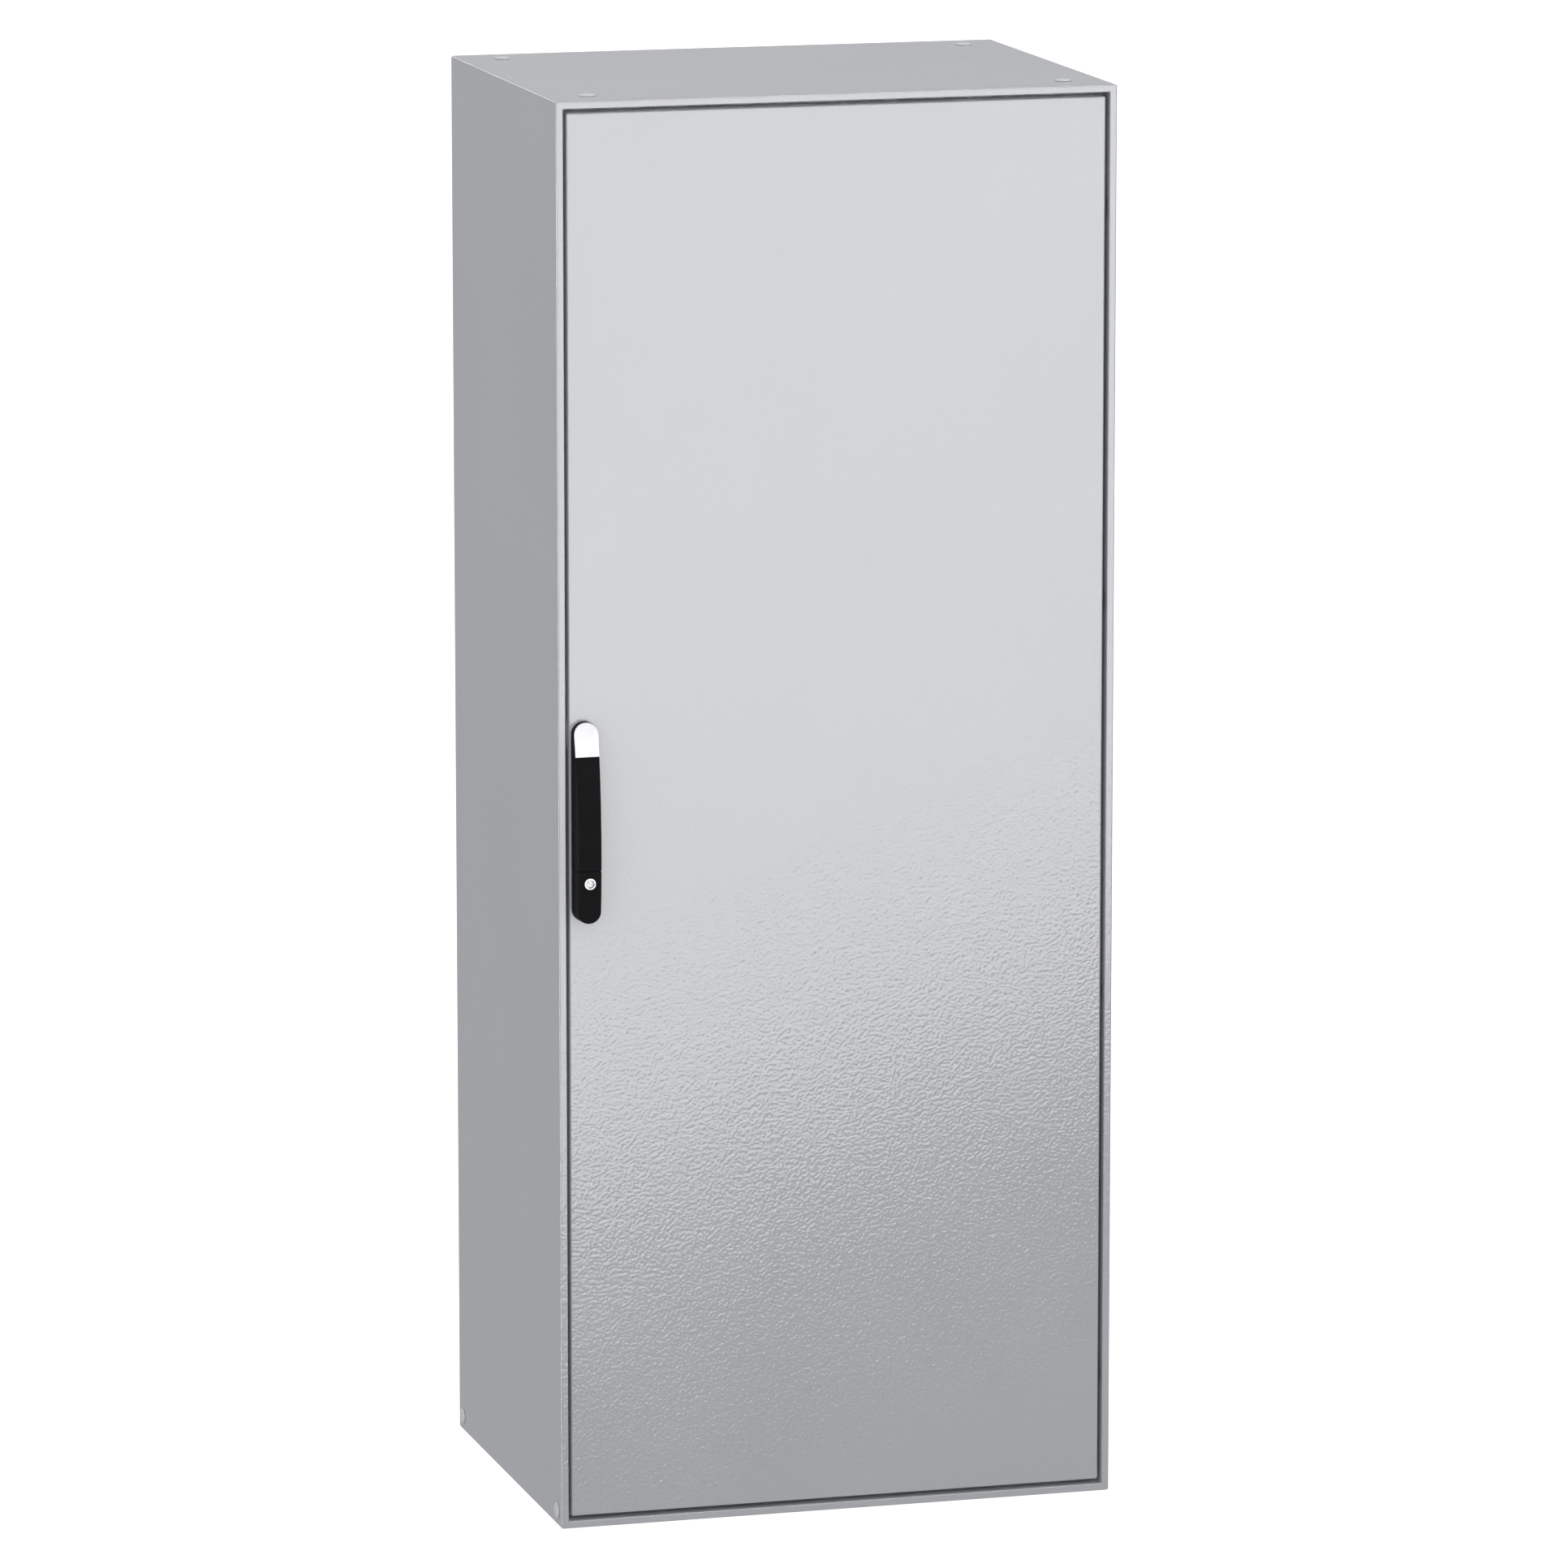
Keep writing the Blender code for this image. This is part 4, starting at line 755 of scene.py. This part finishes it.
def add_foot_bolt(side, word, group):
    """Through the foot into its rail."""
    low, high, _ = span(f"plate_foot_{word}")
    x = side * (max(abs(low.x), abs(high.x)) - FOOT_BOLT_IN)
    y = (low.y + high.y) / 2 + FOOT_BOLT_BACK
    top = low.z + PLATE_STRAP
    washer(group, (x, y, top), UP, *FOOT_WASHER)
    hex_head(group, (x, y, top + FOOT_WASHER[1]), UP, *FOOT_BOLT)


def add_rail_bolts(word, group):
    """Along the rail, down into the cabinet's floor."""
    low, high, middle = span(f"plate_rail_{word}")
    top = low.z + RAIL_SHEET
    for y in spread(low.y + RAIL_END, high.y - RAIL_END, 4):
        washer(group, (middle.x, y, top), UP, *RAIL_WASHER)
        hex_head(group, (middle.x, y, top + RAIL_WASHER[1]), UP, *RAIL_BOLT)


def add_plate_fixings():
    """The nuts of the mounting plate, and the bolts of its hangers, feet and rails."""
    nuts, bolts = Group(), Group()
    for side, word in ((-1, "left"), (1, "right")):
        add_plate_nuts(side, word, nuts)
        add_hanger_bolt(side, word, bolts)
        add_foot_bolt(side, word, bolts)
        add_rail_bolts(word, bolts)
    nuts.finish("plate_nuts", "zinc", "cabinet")
    bolts.finish("plate_support_bolts", "zinc", "cabinet")


BRACKET_FOOT = 0.003
BRACKET_SCREW = (0.0046, 0.0030)
BRACKET_SCREW_IN = 0.013
BRACKET_SCREW_REACH = 0.0172
LEAF_SHEET = 0.0025
LEAF_NUT = (0.0032, 0.0034, 0.0020, 0.0016)
LEAF_NUT_IN = 0.0052
LEAF_NUT_REACH = 0.0105


def add_hinge_screws():
    """Two in each bracket's foot on the cabinet, and two nuts on each leaf on the door."""
    in_feet, on_leaves = Group(), Group()
    for number in (1, 2, 3, 4):
        low, high, middle = span(f"hinge_bracket_{number}")
        for side in (-1, 1):
            z = middle.z + side * BRACKET_SCREW_REACH
            centre = (low.x + BRACKET_SCREW_IN, high.y - BRACKET_FOOT, z)
            pan_screw(in_feet, centre, OUTWARD, *BRACKET_SCREW)
        low, _, middle = span(f"hinge_leaf_{number}")
        for side in (-1, 1):
            centre = (low.x + LEAF_NUT_IN, low.y + LEAF_SHEET, middle.z + side * LEAF_NUT_REACH)
            hex_nut(on_leaves, centre, INWARD, *LEAF_NUT)
    in_feet.finish("hinge_bracket_screws", "zinc", "cabinet")
    on_leaves.finish("hinge_leaf_nuts", "zinc", "door")


KEEPER_SHEET = 0.0025
KEEPER_SCREW = (0.0036, 0.0022)
KEEPER_SCREW_IN = 0.0068
SIDE_RIVET = (0.0024, 0.0010)
SIDE_RIVET_IN = 0.0042


def add_keeper_screws():
    """One in the foot of each rod's keeper, and two rivets in the keeper at the side."""
    group = Group()
    for word in ("top", "bottom"):
        low, high, middle = span(f"keeper_{word}")
        z = low.z + KEEPER_SCREW_IN if word == "top" else high.z - KEEPER_SCREW_IN
        pan_screw(group, (middle.x, high.y - KEEPER_SHEET, z), OUTWARD, *KEEPER_SCREW)
    low, high, _ = span("keeper_side")
    for z in (low.z + SIDE_RIVET_IN, high.z - SIDE_RIVET_IN):
        pan_screw(group, (low.x + 0.0005, high.y - SIDE_RIVET_IN, z), (1, 0, 0), *SIDE_RIVET)
    group.finish("keeper_screws", "zinc", "cabinet")


# ---------------------------------------------------------------- fasteners on the door

DOOR_SHEET = 0.002
GEARBOX_SCREW = (0.0044, 0.0016)
GEARBOX_SCREW_IN = 0.0085
HANDLE_SCREW = (0.0046, 0.0028)
HANDLE_SCREW_UP = 0.021


def add_lock_screws():
    """The two screws of the gearbox and the lower screw of the handle, seen from inside."""
    group = Group()
    low, high, middle = span("lock_gearbox")
    for z in (low.z + GEARBOX_SCREW_IN, high.z - GEARBOX_SCREW_IN):
        pan_screw(group, (middle.x, high.y, z), INWARD, *GEARBOX_SCREW)
    low, _, middle = span("handle_base")
    pan_screw(group, (middle.x, FACE_Y + DOOR_SHEET, low.z + HANDLE_SCREW_UP), INWARD, *HANDLE_SCREW)
    group.finish("lock_screws", "zinc", "door")


def add_lock_nut():
    """The ring nut that holds the lock barrel from behind, and the barrel's thread."""
    _, back, barrel = span("lock_barrel")
    inside = FACE_Y + DOOR_SHEET
    group = Group()
    group.stack([
        (hexagon(0.0110, 0.3), 0.0),
        (hexagon(0.0110), 0.0006),
        (hexagon(0.0110), 0.0034),
        (hexagon(0.0110, 0.3), 0.0040),
        (circle(0.0092), 0.0040),
        (circle(0.0087), 0.0034),
    ], (barrel.x, inside + 0.0002, barrel.z), INWARD)
    threaded_end(group, (barrel.x, inside, barrel.z), INWARD, 0.0086, back.y - inside + 0.0004)
    group.finish("lock_ring_nut", "zinc", "door")


STIFFENER_SHEET = 0.0015
STIFFENER_FOOT = 0.007
WELD_END = 0.020
WELD_PROFILE = [(0.0026, 0.0), (0.0022, 0.00016), (0.0013, 0.00022), (0.0008, 0.00012)]


def add_spot_welds():
    """Low round marks along the feet of the door's stiffeners."""
    group = Group(12)
    for word in ("left", "right", "top", "bottom"):
        low, high, _ = span(f"door_stiffener_{word}")
        foot = low.y + STIFFENER_SHEET
        inset = STIFFENER_FOOT / 2
        if word in ("left", "right"):
            along = spread(low.z + WELD_END, high.z - WELD_END, 15)
            places = [(x, foot, z) for x in (low.x + inset, high.x - inset) for z in along]
        else:
            along = spread(low.x + WELD_END, high.x - WELD_END, 6)
            places = [(x, foot, z) for z in (low.z + inset, high.z - inset) for x in along]
        for centre in places:
            group.turned(WELD_PROFILE, centre, INWARD)
    group.finish("stiffener_spot_welds", "paint", "door")


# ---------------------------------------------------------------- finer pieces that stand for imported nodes

PLUG_PROFILE = [
    (0.0066, -0.0060),
    (0.0070, -0.0052),
    (0.0068, 0.0002),
    (0.0111, 0.0002),
    (0.0115, 0.0005),
    (0.0115, 0.0011),
    (0.0112, 0.0017),
    (0.0104, 0.0023),
    (0.0090, 0.0026),
    (0.0050, 0.0028),
    (0.0010, 0.0028),
]


def add_plug(node, centre, axis):
    """A push-in plug: a stem, a thin rim and a softly crowned face."""
    plug = Group(48)
    plug.turned(PLUG_PROFILE, centre, axis)
    plug.finish(f"{node}_moulding", "plug_plastic", "cabinet", (node,))


def add_plugs():
    for end in ("front", "rear"):
        for side, word in ((-1, "left"), (1, "right")):
            node = f"roof_plug_{end}_{word}"
            middle = span(node)[2]
            add_plug(node, (middle.x, middle.y, SHELL_HIGH.z), UP)
            node = f"side_plug_{word}_{end}"
            middle = span(node)[2]
            add_plug(node, (side * SHELL_HIGH.x, middle.y, middle.z), (side, 0, 0))


def add_lock_barrel(centre, rise):
    """The plated barrel with its rolled rim, and a keyway in its mouth."""
    barrel = Group(72)
    barrel.stack([
        (circle(0.0084), -0.0100),
        (circle(0.0084), rise - 0.0014),
        (circle(0.0083), rise - 0.0008),
        (circle(0.0080), rise - 0.0003),
        (circle(0.0076), rise),
        (notched(0.0061), rise),
        (notched(0.0059), rise - 0.0003),
        (notched(0.0058), rise - 0.0010),
        (notched(0.0058), rise - 0.0030),
        (circle(0.0058), rise - 0.0030),
        (circle(0.0058), rise - 0.0078),
    ], centre, OUTWARD)
    barrel.finish("lock_barrel_plated", "chrome", "door", ("lock_barrel",))


def add_lock_insert(centre, rise):
    """The dished insert for a double-bar key, with its post and its bar."""
    insert = Group(72)
    insert.turned([
        (0.0050, rise - 0.0076),
        (0.0054, rise - 0.0060),
        (0.0055, rise - 0.0024),
        (0.0053, rise - 0.0020),
        (0.0050, rise - 0.0022),
        (0.0044, rise - 0.0040),
        (0.0037, rise - 0.0052),
        (0.0026, rise - 0.0054),
        (0.0024, rise - 0.0044),
        (0.0023, rise - 0.0024),
        (0.0020, rise - 0.0017),
        (0.0014, rise - 0.0014),
        (0.0006, rise - 0.0014),
        (0.0004, rise - 0.0020),
    ], centre, OUTWARD)
    insert.stack([
        (slab(0.0046, 0.0007), rise - 0.0060),
        (slab(0.0046, 0.0007), rise - 0.0044),
        (slab(0.0044, 0.0005), rise - 0.0042),
    ], centre, OUTWARD)
    insert.finish("lock_insert_plated", "chrome", "lock", ("lock_insert",))


def add_lock():
    low, _, middle = span("lock_barrel")
    centre = (middle.x, FACE_Y, middle.z)
    add_lock_barrel(centre, FACE_Y - low.y)
    add_lock_insert(centre, FACE_Y - low.y)


def add_earth_studs():
    """Welded studs with a serrated flange nut, on the cabinet's side and on the door."""
    axes = {"body": (Vector((1, 0, 0)), "cabinet"), "door": (INWARD, "door")}
    for word, (axis, body) in axes.items():
        low, high, middle = span(f"earth_stud_{word}")
        reach = (high - low).dot(axis)
        foot = middle - axis * reach / 2
        stud = Group(36)
        stud.turned([(0.0060, 0.0), (0.0058, 0.0006), (0.0045, 0.0010)], foot, axis)
        threaded_end(stud, foot + axis * 0.0006, axis, 0.0040, reach - 0.0006)
        washer(stud, foot + axis * 0.0030, axis, 0.0084, 0.0012)
        hex_nut(stud, foot + axis * 0.0042, axis, 0.0058, 0.0075, 0.0040, 0.0010)
        stud.finish(f"earth_stud_{word}_threaded", "brass", body, (f"earth_stud_{word}",))


def add_small_pieces():
    add_rear_panel_screws()
    add_gland_screws()
    add_plate_fixings()
    add_hinge_screws()
    add_keeper_screws()
    add_lock_screws()
    add_lock_nut()
    add_spot_welds()
    add_plugs()
    add_lock()
    add_earth_studs()


# ---------------------------------------------------------------- stage, light and camera

WHITE = (1.0, 1.0, 1.0, 1.0)
ROOM_LIGHT = 0.58


def make_floor():
    """A pale floor, bright enough to melt into the backdrop, that still takes a faint shadow."""
    bm = bmesh.new()
    bmesh.ops.create_circle(bm, cap_ends=True, segments=96, radius=60.0)
    mesh = bpy.data.meshes.new("floor")
    bm.to_mesh(mesh)
    bm.free()
    floor = bpy.data.objects.new("floor", mesh)
    bpy.context.scene.collection.objects.link(floor)
    floor.location.z = -0.0006
    t = Tree("floor")
    t.set(Base_Color=(0.6, 0.6, 0.6), Roughness=0.9, Emission_Color=(1.0, 1.0, 1.0), Emission_Strength=0.86)
    t.shader.inputs["Specular IOR Level"].default_value = 0.0
    mesh.materials.append(t.material)
    floor.visible_diffuse = False
    floor.visible_glossy = False
    floor.visible_shadow = False
    floor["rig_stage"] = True


def make_world():
    """A white backdrop for the eye, and a softer grey room for everything that lights the object."""
    world = bpy.data.worlds.new("studio")
    world.use_nodes = True
    bpy.context.scene.world = world
    nodes, links = world.node_tree.nodes, world.node_tree.links
    nodes.clear()
    out = nodes.new("ShaderNodeOutputWorld")
    mix = nodes.new("ShaderNodeMixShader")
    seen = nodes.new("ShaderNodeBackground")
    seen.inputs["Color"].default_value = WHITE
    seen.inputs["Strength"].default_value = 1.0
    room = nodes.new("ShaderNodeBackground")
    room.inputs["Strength"].default_value = ROOM_LIGHT
    place = nodes.new("ShaderNodeTexCoord")
    split = nodes.new("ShaderNodeSeparateXYZ")
    ramp = nodes.new("ShaderNodeValToRGB")
    lift = nodes.new("ShaderNodeMapRange")
    lift.inputs["From Min"].default_value = -1.0
    links.new(place.outputs["Generated"], split.inputs[0])
    links.new(split.outputs["Z"], lift.inputs["Value"])
    links.new(lift.outputs["Result"], ramp.inputs["Fac"])
    links.new(ramp.outputs["Color"], room.inputs["Color"])
    ramp.color_ramp.elements[0].position = 0.40
    ramp.color_ramp.elements[0].color = (0.78, 0.79, 0.81, 1.0)
    ramp.color_ramp.elements[1].position = 0.75
    ramp.color_ramp.elements[1].color = (1.0, 1.0, 1.02, 1.0)
    path = nodes.new("ShaderNodeLightPath")
    links.new(path.outputs["Is Camera Ray"], mix.inputs[0])
    links.new(room.outputs[0], mix.inputs[1])
    links.new(seen.outputs[0], mix.inputs[2])
    links.new(mix.outputs[0], out.inputs[0])


def add_panel(name, centre, aim, size, radiance, roll=0.0, receivers=None, blockers=None):
    """A soft rectangular light that faces the point aim. It lights the receivers, or every piece if None."""
    light = bpy.data.lights.new(name, "AREA")
    light.shape = "RECTANGLE"
    light.size, light.size_y = size
    light.energy = radiance * math.pi * size[0] * size[1]
    obj = bpy.data.objects.new(name, light)
    bpy.context.scene.collection.objects.link(obj)
    facing = (Vector(aim) - Vector(centre)).to_track_quat("-Z", "Y").to_matrix().to_4x4()
    obj.matrix_world = Matrix.Translation(centre) @ facing @ Matrix.Rotation(math.radians(roll), 4, "Z")
    obj.visible_camera = False
    obj.light_linking.receiver_collection = receivers
    obj.light_linking.blocker_collection = blockers
    return obj


def add_lamp(*placing, **linking):
    """A panel that lights surfaces, and does not show in them."""
    add_panel(*placing, **linking).visible_glossy = False


def add_reflection(*placing, **linking):
    """A panel that only shows in shiny surfaces."""
    add_panel(*placing, **linking).visible_diffuse = False


ALL_BODIES = tuple(RECORD["behaviour"]["bodies"])


def pieces_of(name, slots, bodies=ALL_BODIES):
    """A collection, outside the scene, of the pieces with one of these slots that ride on these bodies."""
    group = bpy.data.collections.new(name)
    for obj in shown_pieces():
        if obj.get("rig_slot") in slots and obj.get("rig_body") in bodies:
            group.objects.link(obj)
    return group


def make_lights():
    painted = pieces_of("painted", ("paint", "white_plastic", "plug_plastic"))
    painted_still = pieces_of("painted_still", ("paint", "plug_plastic"), ("cabinet",))
    metal = pieces_of("metal", ("zinc", "chrome", "brass", "galvanised"))
    sheet_metal = pieces_of("sheet_metal", ("paint", "galvanised"))
    add_reflection(
        "sheen", (1.354, -5.3, 1.086), (1.354, 0.0, 1.086), (4.0, 3.2), 7.0,
        roll=18.5, receivers=painted, blockers=sheet_metal,
    )
    add_reflection("glint", (0.8, -5.6, 0.3), (0.0, 0.0, 0.8), (4.4, 3.4), 1.15, receivers=metal)
    add_lamp("front", (1.6, -6.0, 3.2), (0.0, 0.0, 1.2), (3.0, 3.0), 1.26, blockers=sheet_metal)
    add_lamp("above", (-1.3, -0.2, 4.6), (-0.2, 0.0, 2.0), (2.2, 2.6), 0.58)
    add_reflection(
        "left_edges", (-4.4, -1.5, 0.2), (-0.4, -0.28, 1.0), (1.6, 4.4), 14.0,
        receivers=painted_still,
    )
    add_reflection("upper_edges", (1.3, -2.1, 5.0), (0.0, -0.28, 0.6), (3.0, 1.8), 12.0, receivers=painted)
    add_reflection("roof_edge", (-1.3, 7.7, 3.9), (-0.4, 0.0, 2.0), (1.1, 1.3), 7.0, receivers=painted)


def make_camera():
    data = bpy.data.cameras.new("camera")
    data.lens = LENS
    data.sensor_width = SENSOR
    data.clip_start = 0.5
    data.clip_end = 200.0
    camera = bpy.data.objects.new("camera", data)
    bpy.context.scene.collection.objects.link(camera)
    camera.location = EYE
    camera.rotation_euler = (math.radians(90 + EYE_PITCH), 0.0, math.radians(-EYE_YAW))
    bpy.context.scene.camera = camera
    bpy.context.scene.view_settings.view_transform = "Standard"


# ---------------------------------------------------------------- build

finish_nodes()
add_small_pieces()
make_floor()
make_world()
make_lights()
make_camera()
